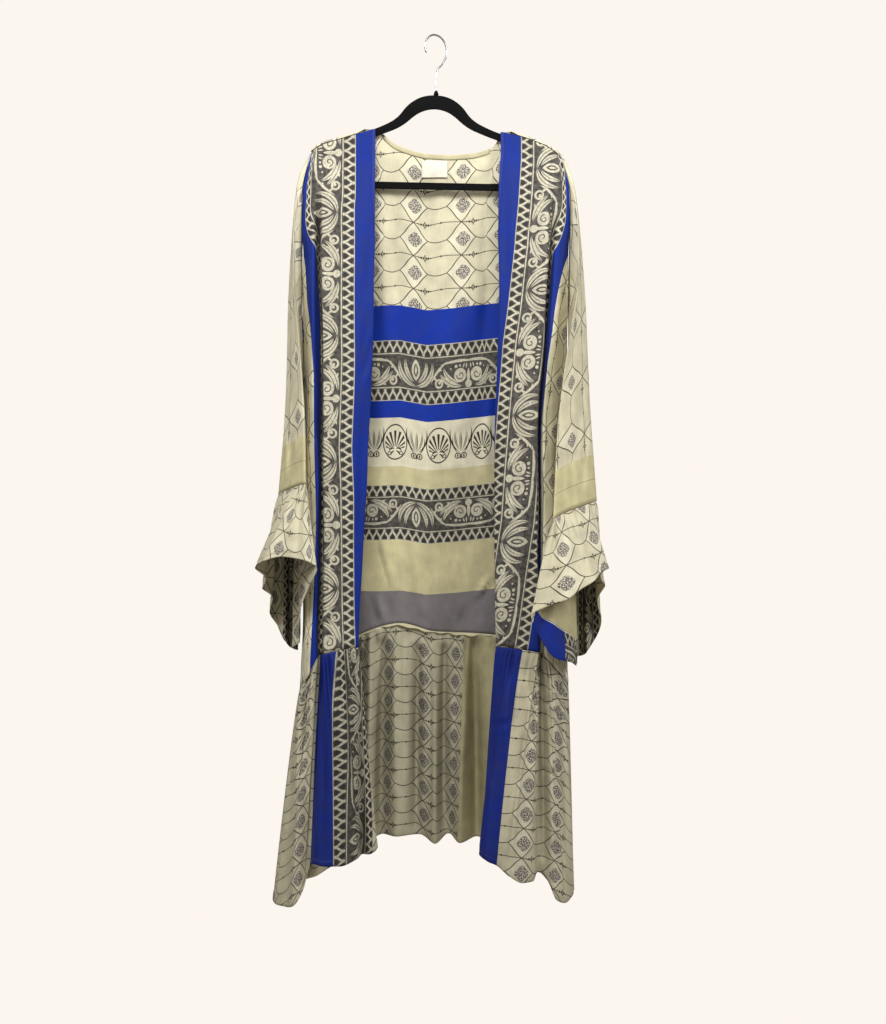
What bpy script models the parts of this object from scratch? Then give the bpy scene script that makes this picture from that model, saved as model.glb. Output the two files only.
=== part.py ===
# Open-front kimono-style robe on a slim hanger
# Metres, +Z up, +Y away from the front. The origin is the inner top of the hook,
# where the hanger hangs. Tables and sizes below are in millimetres.
import math

import bmesh
import bpy
import numpy as np
from mathutils import Vector

MM = 0.001

# Cloth
WALL = 1.2            # thickness of every cloth wall
SEAM_GAP = 0.4        # clear gap between neighbouring pieces
CUFF_GAP = 0.8        # the same round a cuff, whose ring is tight at its front
ARMHOLE_STEP = 1.7    # how far outside the bodice's wall the sleeve's wall starts
SEAM_RUN = 3.0        # cloth below a gathered seam that still follows the piece above
TRIM_WALL = 1.0       # thickness of the strips and the label
SETTLE = 45.0         # fall below the shoulder or neckline over which a panel leaves it for its table
SPREAD_EARLY = 0.85   # power of the fall that a gathered piece spreads with, below 1 to spread early
STRIP_WIDTH = 5.0     # stitched strip on the front edges
STRIP_INSET = 0.3     # distance of a strip from the edge that it trims
STRIP_RELIEF = 0.6    # extra lift where a front edge turns in
BINDING_DEPTH = 8.0   # binding inside the back neck
BINDING_END = 88.0    # how far along x the binding shows, from the middle
BINDING_RELIEF = 0.1  # extra lift of the binding, over the curve of the back
LABEL_RELIEF = 0.2    # the same for the label
LABEL_X = (-23.0, 18.0)
LABEL_Z = (-198.4, -225.4)

# Hanger
HANGER_THICK = 4.6
HANGER_TILT = math.radians(1.2)
CROWN_TOP = -95.0
CROWN_DEEP = 22.0
BAR_TOP = -235.0
BAR_DEEP = 11.0
HOOK_RADIUS = 21.0
HOOK_YAW = math.radians(40)
WIRE_RADIUS = 1.4
COLLAR_TOP = -88.0
COLLAR_BOTTOM = -95.5
COLLAR_RADIUS = 4.2
COLLAR_TAPER = 0.5    # radius of the collar's top, as a share of its foot
COLLAR_HEIGHT = COLLAR_TOP - COLLAR_BOTTOM - 1.0
HOOK_START = -40      # the bow of the hook, in degrees round its centre from the side of the shank
HOOK_END = 205

# Heights of the shoulder ridge, the top of the cloth over the hanger's arms
RIDGE_X = [-222, -212, -206, -198, -184, -152, -120, -97, 103, 131, 168, 188, 203, 210, 220]
RIDGE_Z = [-240, -206, -192, -180, -171, -161, -151, -145, -150, -156, -169, -180, -194, -208, -240]
RIDGE_HALF = 4.6      # half the depth of the fold that the cloth makes over an arm
WRAP = math.radians(-80)       # where the back ends, in front of the ridge
WRAP_AT_NECK = math.radians(60)
SHOULDER_RELIEF = 2.2          # extra gap under the back's edge where the shoulder is steep
WRAP_LAST = math.radians(70)
NECK_BACK = 6.6       # how far behind the hanger the neckline lies
NECK_FALL = 12        # height of the straight cloth under the neckline's edge
NECK_FADE = (6, 30)   # distances from a neck point between which the back's edge crosses the ridge

# Back neckline, from the left neck point to the right one
NECK_X = [-97, -84, -68, -41, -15, 21, 54, 77, 95, 103]
NECK_Z = [-145, -156, -170, -181, -187, -189, -187, -182, -172, -150]

# Front panels. Each row is a level: its height, then (x, y) of the cloth edge, the turn that shows as
# the front edge, the middle of the printed border, the crest beside the deep fold, the bottom of that
# fold, its outer crest, the outer part and the side
FRONT_LEFT = [
    (-190, (-97, -6), (-103.5, -6), (-129, -6), (-168, -6), (-184, -6), (-192, -6), (-197, -6), (-200, -5)),
    (-258, (-98, -10.5), (-103.5, -14), (-129, -14), (-175, -20), (-188, -18), (-200, -14), (-209, -11), (-213, -7)),
    (-341, (-99, -14.5), (-98.2, -21), (-128, -27), (-179, -33), (-186, -9), (-193, -29), (-206, -21), (-213, -9)),
    (-417, (-103, -19.5), (-99, -25), (-128, -34), (-177, -41), (-183, -11), (-189, -37), (-205, -26), (-213, -9)),
    (-491, (-104, -23), (-99, -29), (-127, -40), (-176, -48), (-181.5, -14), (-187, -44), (-201, -34), (-212, -2)),
    (-585, (-111, -25), (-103, -32), (-127, -44), (-175, -53), (-181, -16), (-187, -48), (-200, -38), (-212, -2)),
    (-727, (-122, -27), (-109, -36), (-130, -49), (-174, -60), (-180, -20), (-186, -54), (-200, -44), (-211, -2)),
    (-836, (-135, -28), (-115, -39), (-136, -52), (-173, -64), (-180, -26), (-187, -58), (-201, -48), (-212, -2)),
    (-961, (-149, -32), (-121, -44), (-140, -57), (-173, -68), (-180.5, -38), (-188, -62), (-202, -52), (-214, -2)),
    (-1050, (-151, -34), (-123, -46), (-141, -59), (-174, -70), (-181.5, -46), (-189, -64), (-204, -54), (-218, -2)),
]
FRONT_RIGHT = [
    (-190, (103, -6), (109.5, -6), (132, -6), (168, -6), (183, -6), (191, -6), (196, -6), (199, -5)),
    (-258, (99.6, -10.5), (104.8, -14.4), (131, -15), (176, -21), (188, -18), (200, -14), (209, -11), (213, -7)),
    (-341, (102.5, -14), (100, -20.5), (126, -28), (175, -35), (182, -13), (189, -30), (201, -21), (212, -9)),
    (-421, (112, -17), (100, -26), (132, -36), (171, -44), (177, -14), (183, -40), (193, -31), (211, -9)),
    (-496, (121, -17), (98, -28), (127, -41), (166, -50), (172, -18), (178, -46), (189, -37), (209, -2)),
    (-636, (123, -17), (93, -31), (120, -46), (157, -56), (163, -20), (169, -53), (180, -45), (208, -2)),
    (-776, (130, -18), (92, -33), (119, -49), (157, -60), (163, -26), (169, -57), (182, -49), (208, -2)),
    (-961, (160, -26), (94, -41), (121, -55), (158, -65), (164.5, -46), (171, -62), (185, -54), (209, -2)),
    (-1050, (162, -28), (94, -43), (122, -57), (159, -67), (165.5, -46), (172, -64), (187, -56), (212, -2)),
]

# Back panel. Each row is a level: its height, then (x, y) at the left side, three soft folds, the
# middle, three soft folds and the right side
BACK = [
    (-190, (-200, 5), (-178, 6), (-140, 6), (-94, 6), (0, 6), (101, 6), (140, 6), (178, 6), (199, 5)),
    (-258, (-213, 7), (-186, 12), (-140, 13), (-80, 11), (0, 14), (78, 11), (140, 13), (186, 12), (213, 7)),
    (-341, (-213, 9), (-188, 19), (-142, 21), (-82, 17), (0, 22), (78, 17), (140, 21), (184, 19), (212, 9)),
    (-491, (-213, 2), (-190, 29), (-144, 31), (-84, 26), (0, 33), (78, 26), (138, 31), (184, 29), (209, 2)),
    (-727, (-211, 2), (-192, 38), (-146, 41), (-86, 36), (0, 43), (76, 36), (136, 41), (184, 38), (208, 2)),
    (-961, (-214, 2), (-195, 44), (-148, 48), (-88, 43), (0, 50), (76, 43), (136, 48), (184, 44), (209, 2)),
    (-1050, (-218, 2), (-197, 46), (-150, 50), (-90, 45), (0, 52), (76, 45), (136, 50), (186, 46), (212, 2)),
]

# Low waist seam: its height along x, in front and behind
WAIST_FRONT_X = [-220, -205, -180, -120, 90, 160, 190, 214]
WAIST_FRONT_Z = [-1042, -1026, -984, -974, -973, -980, -1008, -1036]
WAIST_BACK_X = [-220, -190, -140, -60, 0, 60, 140, 190, 214]
WAIST_BACK_Z = [-1042, -1004, -968, -944, -958, -960, -970, -1004, -1036]

# Skirt tier. Each row is a crest or a hollow of a gather: its place along the bodice's lower edge as a
# share of the edge, then x, y and z at the hem
SKIRT_LEFT = [
    (0.00, -96, -34, -1280), (0.05, -92, -52, -1286), (0.12, -102, -70, -1293), (0.18, -116, -52, -1297),
    (0.24, -124, -76, -1300), (0.33, -148, -88, -1308), (0.42, -172, -89, -1308), (0.50, -188, -80, -1306),
    (0.57, -198, -60, -1318), (0.64, -208, -66, -1352), (0.72, -222, -70, -1374), (0.80, -236, -53, -1379),
    (0.87, -250, -44, -1378), (0.94, -258, -22, -1376), (1.00, -260, -1, -1374),
]
SKIRT_RIGHT = [
    (0.00, 92, -40, -1284), (0.07, 72, -58, -1288), (0.14, 66, -78, -1291), (0.22, 80, -92, -1300),
    (0.30, 94, -84, -1308), (0.37, 112, -92, -1322), (0.44, 134, -88, -1334), (0.51, 151, -76, -1334),
    (0.57, 160, -50, -1326), (0.64, 173, -58, -1336), (0.72, 188, -66, -1366), (0.80, 203, -58, -1372),
    (0.88, 214, -38, -1368), (0.94, 219, -20, -1366), (1.00, 220, -1, -1366),
]
SKIRT_BACK = [
    (0.00, -260, 1, -1374), (0.04, -258, 22, -1373), (0.09, -240, 34, -1370), (0.14, -222, 62, -1366),
    (0.19, -196, 48, -1356), (0.24, -172, 72, -1346), (0.29, -142, 46, -1332), (0.34, -112, 70, -1304),
    (0.38, -88, 68, -1292), (0.42, -64, 42, -1290), (0.46, -28, 66, -1291), (0.50, -2, 38, -1301),
    (0.54, 20, 68, -1290), (0.58, 38, 40, -1300), (0.62, 66, 64, -1296), (0.67, 92, 48, -1304),
    (0.72, 116, 72, -1320), (0.77, 138, 48, -1330), (0.82, 160, 70, -1342), (0.87, 182, 48, -1352),
    (0.92, 200, 60, -1360), (0.96, 217, 26, -1364), (1.00, 220, 1, -1366),
]

# Sleeves. Each row is a ring below the armhole: (x, y, z) of its outer fold, front, inner fold and back
SLEEVE_LEFT = [
    ((-220, 0, -228), (-226, -30, -356), (-216, -3, -484), (-226, 28, -356)),
    ((-229, 0, -300), (-230, -52, -420), (-215, -4, -524), (-231, 46, -420)),
    ((-236, 0, -420), (-230, -66, -500), (-214.6, -5, -580), (-233, 56, -500)),
    ((-240, 0, -580), (-230, -75, -612), (-214, -7, -655), (-236, 62, -620)),
    ((-252, 0, -734), (-232, -82, -718), (-214, -9, -736), (-240, 66, -748)),
]
SLEEVE_RIGHT = [
    ((218, 0, -228), (226, -30, -356), (213.4, -3, -484), (225, 28, -356)),
    ((229, 0, -300), (232, -51, -420), (212, -4, -524), (230, 46, -420)),
    ((238, 0, -420), (230, -66, -500), (211, -5, -580), (232, 56, -500)),
    ((245, 0, -580), (214, -79, -620), (210.6, -8, -670), (232, 64, -620)),
    ((256, 0, -744), (199, -87, -772), (210.8, -10, -798), (234, 68, -760)),
]
ARMHOLE_TOP = -189
ARMHOLE_LOW = -462
ROUND_TOP = 14        # how fast the armhole's ring opens from its top, and from its low end
ROUND_LOW = 10

# Flounces. Each row is a crest or a hollow of the hem: its place round the cuff as a share of the
# ring, from the outer fold by the front, then x, y and z at the hem
FLOUNCE_LEFT = [
    (0.00, -278, -8, -884), (0.05, -270, -28, -866), (0.10, -284, -50, -850), (0.15, -276, -76, -842),
    (0.20, -262, -100, -836), (0.25, -238, -104, -830), (0.30, -214, -116, -832), (0.36, -194, -106, -838),
    (0.42, -181, -108, -850), (0.46, -204, -88, -880), (0.50, -222, -62, -915), (0.55, -227, -36, -950),
    (0.60, -222, -10, -968), (0.65, -231, 14, -980), (0.70, -224, 40, -986), (0.75, -240, 66, -984),
    (0.80, -247, 48, -972), (0.85, -260, 64, -950), (0.90, -272, 42, -925), (0.95, -264, 14, -900),
]
FLOUNCE_RIGHT = [
    (0.00, 269, -6, -880), (0.04, 259, -28, -862), (0.08, 270, -52, -850), (0.12, 255, -74, -856),
    (0.16, 242, -102, -868), (0.19, 222, -106, -880), (0.22, 202, -112, -896), (0.25, 180, -106, -904),
    (0.29, 160, -102, -922), (0.34, 170, -92, -953), (0.39, 182, -96, -985), (0.46, 212, -66, -996),
    (0.52, 222, -36, -1004), (0.59, 218, -8, -1002), (0.66, 228, 18, -1006), (0.72, 222, 44, -1000),
    (0.77, 238, 68, -998), (0.82, 246, 50, -990), (0.87, 258, 64, -975), (0.92, 268, 42, -940),
    (0.96, 259, 16, -905),
]

# Steps along each cloth piece
FRONT_PARTS = (1, 3, 3, 4, 4, 3, 3)   # columns between a front panel's stations
FRONT_LINES = 20
BACK_COLUMNS = 24
BACK_LINES = 10
RIDGE_LINES = 4       # lines of the back over the shoulder ridge, or under the neckline's edge
SKIRT_LINES = 6
SKIRT_FINER = 2                       # skirt columns for each column of the bodice
SLEEVE_COLUMNS = 24
SLEEVE_LINES = 12
FLOUNCE_FINER = 2
FLOUNCE_LINES = 5
LABEL_COLUMNS = 5
LABEL_LINES = 4
COLLAR_SIDES = 24
HOOK_STEPS = 20
FIRST_FALL = 0.012    # share of a panel's fall that keeps its first line off the seam
TOP_CROWDING = 1.25   # power that brings a panel's lines closer together near its top


def smooth_slopes(knots, values):
    """Slopes of a curve through the values that never overshoots them."""
    gaps = np.diff(knots)
    rises = np.diff(values, axis=0) / gaps[:, None]
    slopes = np.zeros_like(values)
    before, after = rises[:-1], rises[1:]
    same_way = before * after > 0
    total = np.where(same_way, before + after, 1.0)
    slopes[1:-1] = np.where(same_way, 2 * before * after / total, 0.0)
    slopes[0] = rises[0]
    slopes[-1] = rises[-1]
    return slopes


def smooth(knots, values, at):
    """Values at the given places of a smooth curve through the knots."""
    knots = np.asarray(knots, float)
    values = np.asarray(values, float)
    flat = values.reshape(len(knots), -1)
    slopes = smooth_slopes(knots, flat)
    at = np.clip(np.atleast_1d(np.asarray(at, float)), knots[0], knots[-1])
    low = np.clip(np.searchsorted(knots, at, side="right") - 1, 0, len(knots) - 2)
    gap = (knots[low + 1] - knots[low])[:, None]
    t = (at - knots[low])[:, None] / gap
    made = ((1 + 2 * t) * (1 - t) ** 2 * flat[low] + t * (1 - t) ** 2 * gap * slopes[low]
            + t * t * (3 - 2 * t) * flat[low + 1] + t * t * (t - 1) * gap * slopes[low + 1])
    return made.reshape((len(at),) + values.shape[1:])


def eased(low, high, value):
    """0 below low, 1 above high and a soft step between."""
    t = np.clip((value - low) / (high - low), 0, 1)
    return t * t * (3 - 2 * t)


def ridge_height(x):
    return smooth(RIDGE_X, RIDGE_Z, x)


def level_tables(rows):
    """Heights, falling, and the (x, y) stations at each, of a panel's table."""
    heights = np.array([row[0] for row in rows], float)
    stations = np.array([row[1:] for row in rows], float)
    return heights, stations


def panel_point(rows, share, height):
    """(x, y) of a hanging panel at a share of its width and at a height."""
    heights, stations = level_tables(rows)
    at_height = smooth(-heights, stations, -height)[0]
    places = np.linspace(0, 1, at_height.shape[0])
    return smooth(places, at_height, share)[0]


def fall_rows(count):
    """Shares of a fall, closer together near the top."""
    steps = np.linspace(0, 1, count + 1)
    return FIRST_FALL * steps + (1 - FIRST_FALL) * steps ** TOP_CROWDING


def hang_panel(rows, shares, falls, top_of, bottom_of):
    """Grid of points of a front panel, from the shoulder to the waist seam."""
    grid = np.zeros((len(falls), len(shares), 3))
    for column, share in enumerate(shares):
        x_top = panel_point(rows, share, rows[0][0])[0]
        top = float(top_of(x_top)[0])
        x_bottom = panel_point(rows, share, rows[-1][0])[0]
        bottom = float(bottom_of(x_bottom)[0])
        for line, fall in enumerate(falls):
            height = top + (bottom - top) * fall
            x, y = panel_point(rows, share, height)
            settle = eased(0, SETTLE, top - height)
            grid[line, column] = (x, y * settle - RIDGE_HALF * (1 - settle), height)
    return grid


def station_shares(parts):
    """Shares of a panel's width with the given number of columns between its stations."""
    shares = [0.0]
    for gap, count in enumerate(parts):
        for step in range(count):
            shares.append((gap + (step + 1) / count) / len(parts))
    return shares


def steepness(x):
    """Length of the shoulder line for each millimetre of x."""
    rise = float(ridge_height(x + 1)[0] - ridge_height(x - 1)[0]) / 2
    return math.hypot(1, rise)


def front_grid(rows):
    """The front hangs from just below the edge of the back, which wraps over the shoulder."""

    def top_of(x):
        return ridge_height(x) - RIDGE_HALF - SEAM_GAP - SHOULDER_RELIEF * (steepness(x) - 1)

    def bottom_of(x):
        return smooth(WAIST_FRONT_X, WAIST_FRONT_Z, x)

    return hang_panel(rows, station_shares(FRONT_PARTS), fall_rows(FRONT_LINES), top_of, bottom_of)


def back_grid(rows):
    """The back hangs from the neckline between the neck points, and from the front of the shoulder
    ridge outside them, so that it wraps over the hanger's arm."""
    shares = np.linspace(0, 1, BACK_COLUMNS + 1)
    falls = fall_rows(BACK_LINES)
    left_neck, right_neck = NECK_X[0], NECK_X[-1]
    grid = np.zeros((RIDGE_LINES + len(falls), len(shares), 3))
    for column, share in enumerate(shares):
        x_top = panel_point(rows, share, rows[0][0])[0]
        on_shoulder = x_top <= left_neck or x_top >= right_neck
        x_bottom = panel_point(rows, share, rows[-1][0])[0]
        bottom = float(smooth(WAIST_BACK_X, WAIST_BACK_Z, x_bottom)[0])
        if on_shoulder:
            start = float(ridge_height(x_top)[0]) - RIDGE_HALF
            from_neck = max(left_neck - x_top, x_top - right_neck)
            edge_turn = WRAP_AT_NECK + (WRAP - WRAP_AT_NECK) * float(eased(*NECK_FADE, from_neck))
            for line, turn in enumerate(np.linspace(edge_turn, WRAP_LAST, RIDGE_LINES)):
                grid[line, column] = (x_top, RIDGE_HALF * math.sin(turn),
                                      start + RIDGE_HALF * math.cos(turn))
        else:
            edge = float(smooth(NECK_X, NECK_Z, x_top)[0])
            start = edge - NECK_FALL
            for line in range(RIDGE_LINES):
                grid[line, column] = (x_top, NECK_BACK, edge - NECK_FALL * line / RIDGE_LINES)
        for line, fall in enumerate(falls):
            height = start + (bottom - start) * fall
            x, y = panel_point(rows, share, height)
            settle = eased(0, SETTLE, start - height)
            near = RIDGE_HALF if on_shoulder else NECK_BACK
            grid[RIDGE_LINES + line, column] = (x, near * (1 - settle) + y * settle, height)
    return grid


def finer(line, times):
    """The points of a line with extra points along its straight stretches."""
    places = np.arange(len(line), dtype=float)
    wanted = np.linspace(0, len(line) - 1, (len(line) - 1) * times + 1)
    return np.stack([np.interp(wanted, places, line[:, axis]) for axis in range(3)], axis=1)


def below_edge(last, before):
    """Directions in the cloth, away from its lower edge and square to that edge."""
    along = np.gradient(last, axis=0)
    along /= np.linalg.norm(along, axis=1)[:, None]
    down = last - before
    down = down - np.sum(down * along, axis=1)[:, None] * along
    return down / np.linalg.norm(down, axis=1)[:, None]


def gathered(start, way, hem, lines, gap):
    """Lines of points from a gathered seam to its hem: a short run that follows the piece above, then
    the fall to the hem."""
    top = start + way * gap
    run = start + way * (gap + SEAM_RUN)
    grid = [top]
    for line in range(lines):
        fall = line / (lines - 1)
        spread = fall ** SPREAD_EARLY
        level = run * (1 - fall) + hem * fall
        level[:, :2] = run[:, :2] * (1 - spread) + hem[:, :2] * spread
        grid.append(level)
    return np.array(grid)


def skirt_grid(bodice, folds):
    """Grid of a skirt panel: it starts just under the bodice's lower edge and falls to the hem's
    crests and hollows."""
    start = finer(bodice[-1], SKIRT_FINER)
    way = below_edge(start, finer(bodice[-2], SKIRT_FINER))
    places = np.array([fold[0] for fold in folds])
    knots = np.array([fold[1:] for fold in folds], float)
    hem = smooth(places, knots, np.linspace(0, 1, len(start)))
    return gathered(start, way, hem, SKIRT_LINES, SEAM_GAP)


def ring_points(knots, shares):
    """Points round a closed ring through its stations, which are evenly spread."""
    knots = np.asarray(knots, float)
    count = len(knots)
    made = []
    for share in shares:
        place = (share % 1.0) * count
        low = int(place) % count
        t = place - int(place)
        before, here = knots[low - 1], knots[low]
        there, after = knots[(low + 1) % count], knots[(low + 2) % count]
        lean_in, lean_out = (there - before) / 2, (after - here) / 2
        made.append((2 * t ** 3 - 3 * t ** 2 + 1) * here + (t ** 3 - 2 * t ** 2 + t) * lean_in
                    + (3 * t ** 2 - 2 * t ** 3) * there + (t ** 3 - t ** 2) * lean_out)
    return np.array(made)


def sleeve_grid(side, rows):
    """Grid of a sleeve: from the armhole, through its rings, to the cuff."""
    shares = np.arange(SLEEVE_COLUMNS) / SLEEVE_COLUMNS
    front_rows = FRONT_LEFT if side < 0 else FRONT_RIGHT
    first = []
    for share in shares:
        down = 2 * min(share, 1 - share)
        height = ARMHOLE_TOP + (ARMHOLE_LOW - ARMHOLE_TOP) * down
        front = panel_point(front_rows, 1.0, height)
        back = panel_point(BACK, 0.0 if side < 0 else 1.0, height)
        x, y = front if share <= 0.5 else back
        narrow = min(1.0, min(share, 1 - share) * ROUND_TOP, abs(share - 0.5) * ROUND_LOW)
        first.append((x + side * ARMHOLE_STEP, y * narrow, height))
    rings = np.array([first] + [ring_points(row, shares) for row in rows])
    places = np.linspace(0, 1, len(rings))
    return smooth(places, rings, np.linspace(0, 1, SLEEVE_LINES + 1))


def flounce_grid(sleeve, folds):
    """Grid of a flounce: from just under the cuff's ring to the waves of its hem."""
    closed = np.concatenate([sleeve, sleeve[:, :1]], axis=1)
    start = finer(closed[-1], FLOUNCE_FINER)
    way = below_edge(start, finer(closed[-2], FLOUNCE_FINER))[:-1]
    start = start[:-1]
    places = np.array([fold[0] for fold in folds] + [1.0])
    knots = np.array([fold[1:] for fold in folds] + [folds[0][1:]], float)
    hem = smooth(places, knots, np.arange(len(start)) / len(start))
    return gathered(start, way, hem, FLOUNCE_LINES, CUFF_GAP)


def along_line(line, distances):
    """Points at distances along a line of points, from its first point."""
    steps = np.linalg.norm(np.diff(line, axis=0), axis=1)
    lengths = np.concatenate([[0], np.cumsum(steps)])
    return np.stack([np.interp(distances, lengths, line[:, axis]) for axis in range(3)], axis=1)


def lifted(grid, distance):
    """The grid's points moved out of the cloth by a distance, to the side that its lines and columns
    turn towards."""
    across = np.gradient(grid, axis=1)
    down = np.gradient(grid, axis=0)
    normals = np.cross(across, down)
    normals /= np.linalg.norm(normals, axis=2)[:, :, None]
    return grid + normals * distance


def trim_lift():
    return WALL / 2 + SEAM_GAP + TRIM_WALL / 2


def edge_strip_grid(front, outward):
    """Strip along a front panel's edge, between the edge and the turn."""
    strip = np.array([along_line(line, (STRIP_INSET, STRIP_WIDTH / 2, STRIP_WIDTH)) for line in front[:-1]])
    return lifted(strip, outward * (trim_lift() + STRIP_RELIEF))


def back_height_points(back, xs, heights):
    """Points on the back panel's own facets, for a small piece that lies on it."""
    made = np.zeros((len(heights), len(xs), 3))
    for line, height in enumerate(heights):
        level = np.array([[np.interp(-height, -back[:, column, 2], back[:, column, axis])
                           for axis in range(2)] for column in range(back.shape[1])])
        made[line, :, 0] = xs
        made[line, :, 1] = np.interp(xs, level[:, 0], level[:, 1])
        made[line, :, 2] = height
    return made


def label_grid(back):
    xs = np.linspace(*LABEL_X, LABEL_COLUMNS)
    heights = np.linspace(*LABEL_Z, LABEL_LINES)
    return back_height_points(back, xs, heights) - np.array([0, trim_lift() + LABEL_RELIEF, 0])


def binding_grid(back):
    """Strip inside the back neck, under the neckline's edge."""
    columns = [column for column in range(back.shape[1]) if abs(back[0, column, 0]) < BINDING_END]
    strip = np.array([[along_line(back[:, column], (distance,))[0] for column in columns]
                      for distance in (STRIP_INSET, BINDING_DEPTH / 2, BINDING_DEPTH)])
    return strip - np.array([0, trim_lift() + BINDING_RELIEF, 0])


collection = None


def start_scene():
    global collection
    for thing in list(bpy.data.objects):
        bpy.data.objects.remove(thing, do_unlink=True)
    collection = bpy.data.collections.new("kimono_robe")
    bpy.context.scene.collection.children.link(collection)


def finish(name, colour, roughness, metallic=0.0):
    material = bpy.data.materials.new(name)
    material.use_nodes = True
    shader = material.node_tree.nodes["Principled BSDF"]
    shader.inputs["Base Color"].default_value = (*colour, 1.0)
    shader.inputs["Roughness"].default_value = roughness
    shader.inputs["Metallic"].default_value = metallic
    return material


def cloth_object(name, grid, material, closed=False, wall_thickness=WALL):
    """A cloth piece: its grid of points as an open surface with a wall from Solidify."""
    lines, columns = grid.shape[:2]
    shape = bmesh.new()
    points = [[shape.verts.new(Vector(point) * MM) for point in line] for line in grid.tolist()]
    span = columns if closed else columns - 1
    for line in range(lines - 1):
        for column in range(span):
            across = (column + 1) % columns
            shape.faces.new((points[line][column], points[line + 1][column],
                             points[line + 1][across], points[line][across]))
    mesh = bpy.data.meshes.new(name)
    shape.to_mesh(mesh)
    shape.free()
    mesh.shade_smooth()
    mesh.materials.append(material)
    thing = bpy.data.objects.new(name, mesh)
    collection.objects.link(thing)
    wall = thing.modifiers.new("wall", "SOLIDIFY")
    wall.thickness = wall_thickness * MM
    wall.offset = 0
    return thing


def build_bodice(print_cloth, border_cloth):
    left = front_grid(FRONT_LEFT)
    right = front_grid(FRONT_RIGHT)
    back = back_grid(BACK)
    cloth_object("front_left", left, border_cloth)
    cloth_object("front_right", right, border_cloth)
    cloth_object("back_panel", back, print_cloth)
    return left, right, back


def build_trim(left, right, back, border_cloth, plain_cloth):
    cloth_object("edge_strip_left", edge_strip_grid(left, 1), border_cloth, wall_thickness=TRIM_WALL)
    cloth_object("edge_strip_right", edge_strip_grid(right, -1), border_cloth, wall_thickness=TRIM_WALL)
    cloth_object("neck_binding", binding_grid(back), plain_cloth, wall_thickness=TRIM_WALL)
    cloth_object("neck_label", label_grid(back), plain_cloth, wall_thickness=TRIM_WALL)


def build_skirt(left, right, back, print_cloth, border_cloth):
    cloth_object("skirt_left", skirt_grid(left, SKIRT_LEFT), border_cloth)
    cloth_object("skirt_right", skirt_grid(right, SKIRT_RIGHT), border_cloth)
    cloth_object("skirt_back", skirt_grid(back, SKIRT_BACK), print_cloth)


def build_sleeves(print_cloth):
    for name, side, rows, folds in (("left", -1, SLEEVE_LEFT, FLOUNCE_LEFT),
                                    ("right", 1, SLEEVE_RIGHT, FLOUNCE_RIGHT)):
        sleeve = sleeve_grid(side, rows)
        cloth_object("sleeve_" + name, sleeve, print_cloth, closed=True)
        cloth_object("flounce_" + name, flounce_grid(sleeve, folds), print_cloth, closed=True)


def hanger_outline():
    """Outer and inner outlines of the hanger, half of each, from the middle to the end of an arm."""
    outer = [(0, CROWN_TOP), (-13, -96), (-26, -100), (-38, -107.5), (-47, -116), (-54, -126), (-62, -134),
             (-72, -140.5), (-96, -151.6), (-130, -161.8), (-160, -170), (-180, -178), (-190, -186),
             (-195, -198), (-195, -220), (-189, -236), (-178, BAR_TOP - BAR_DEEP), (0, BAR_TOP - BAR_DEEP)]
    inner = [(0, CROWN_TOP - CROWN_DEEP), (-12, -118.5), (-24, -123), (-34, -130), (-44, -139), (-56, -147.5),
             (-72, -154.5), (-96, -163.5), (-130, -174), (-158, -183), (-174, -191), (-181, -202),
             (-181, -216), (-177, -227), (-168, BAR_TOP), (0, BAR_TOP)]
    return outer, inner


def outline_spline(curve, half):
    """A closed outline from its left half, mirrored."""
    whole = half + [(-x, z) for x, z in reversed(half[1:-1])]
    spline = curve.splines.new("POLY")
    spline.points.add(len(whole) - 1)
    for point, (x, z) in zip(spline.points, whole):
        point.co = (x * MM, z * MM, 0, 1)
    spline.use_cyclic_u = True


def build_hanger(black, chrome):
    outer, inner = hanger_outline()
    curve = bpy.data.curves.new("hanger_body", "CURVE")
    curve.dimensions = "2D"
    curve.fill_mode = "BOTH"
    curve.extrude = HANGER_THICK / 2 * MM
    outline_spline(curve, outer)
    outline_spline(curve, inner)
    body = bpy.data.objects.new("hanger_body", curve)
    body.rotation_euler = (math.pi / 2, HANGER_TILT, 0)
    body.data.materials.append(black)
    collection.objects.link(body)
    build_collar(black)
    build_hook(chrome)


def build_collar(black):
    """The turned collar that holds the hook's wire, on the crown of the hanger."""
    middle = CROWN_TOP + SEAM_GAP + COLLAR_HEIGHT / 2
    bpy.ops.mesh.primitive_cylinder_add(vertices=COLLAR_SIDES, radius=COLLAR_RADIUS * MM,
                                        depth=COLLAR_HEIGHT * MM, location=(0, 0, middle * MM))
    collar = bpy.context.object
    collar.name = "hook_collar"
    for old in list(collar.users_collection):
        old.objects.unlink(collar)
    collection.objects.link(collar)
    for vertex in collar.data.vertices:
        if vertex.co.z > 0:
            vertex.co.x *= COLLAR_TAPER
            vertex.co.y *= COLLAR_TAPER
    collar.data.materials.append(black)


def hook_route():
    """Points of the hook's wire in its own plane: distance from the shank's line, and height."""
    centre = -HOOK_RADIUS
    ring = HOOK_RADIUS + WIRE_RADIUS
    foot = CROWN_TOP + SEAM_GAP + COLLAR_HEIGHT + SEAM_GAP
    route = [(0, foot), (0, -74), (0.6, -62), (4.5, -52), (12, -43.5)]
    for angle in np.linspace(HOOK_START, HOOK_END, HOOK_STEPS):
        turn = math.radians(angle)
        route.append((ring * math.cos(turn), centre + ring * math.sin(turn)))
    return route


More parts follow.
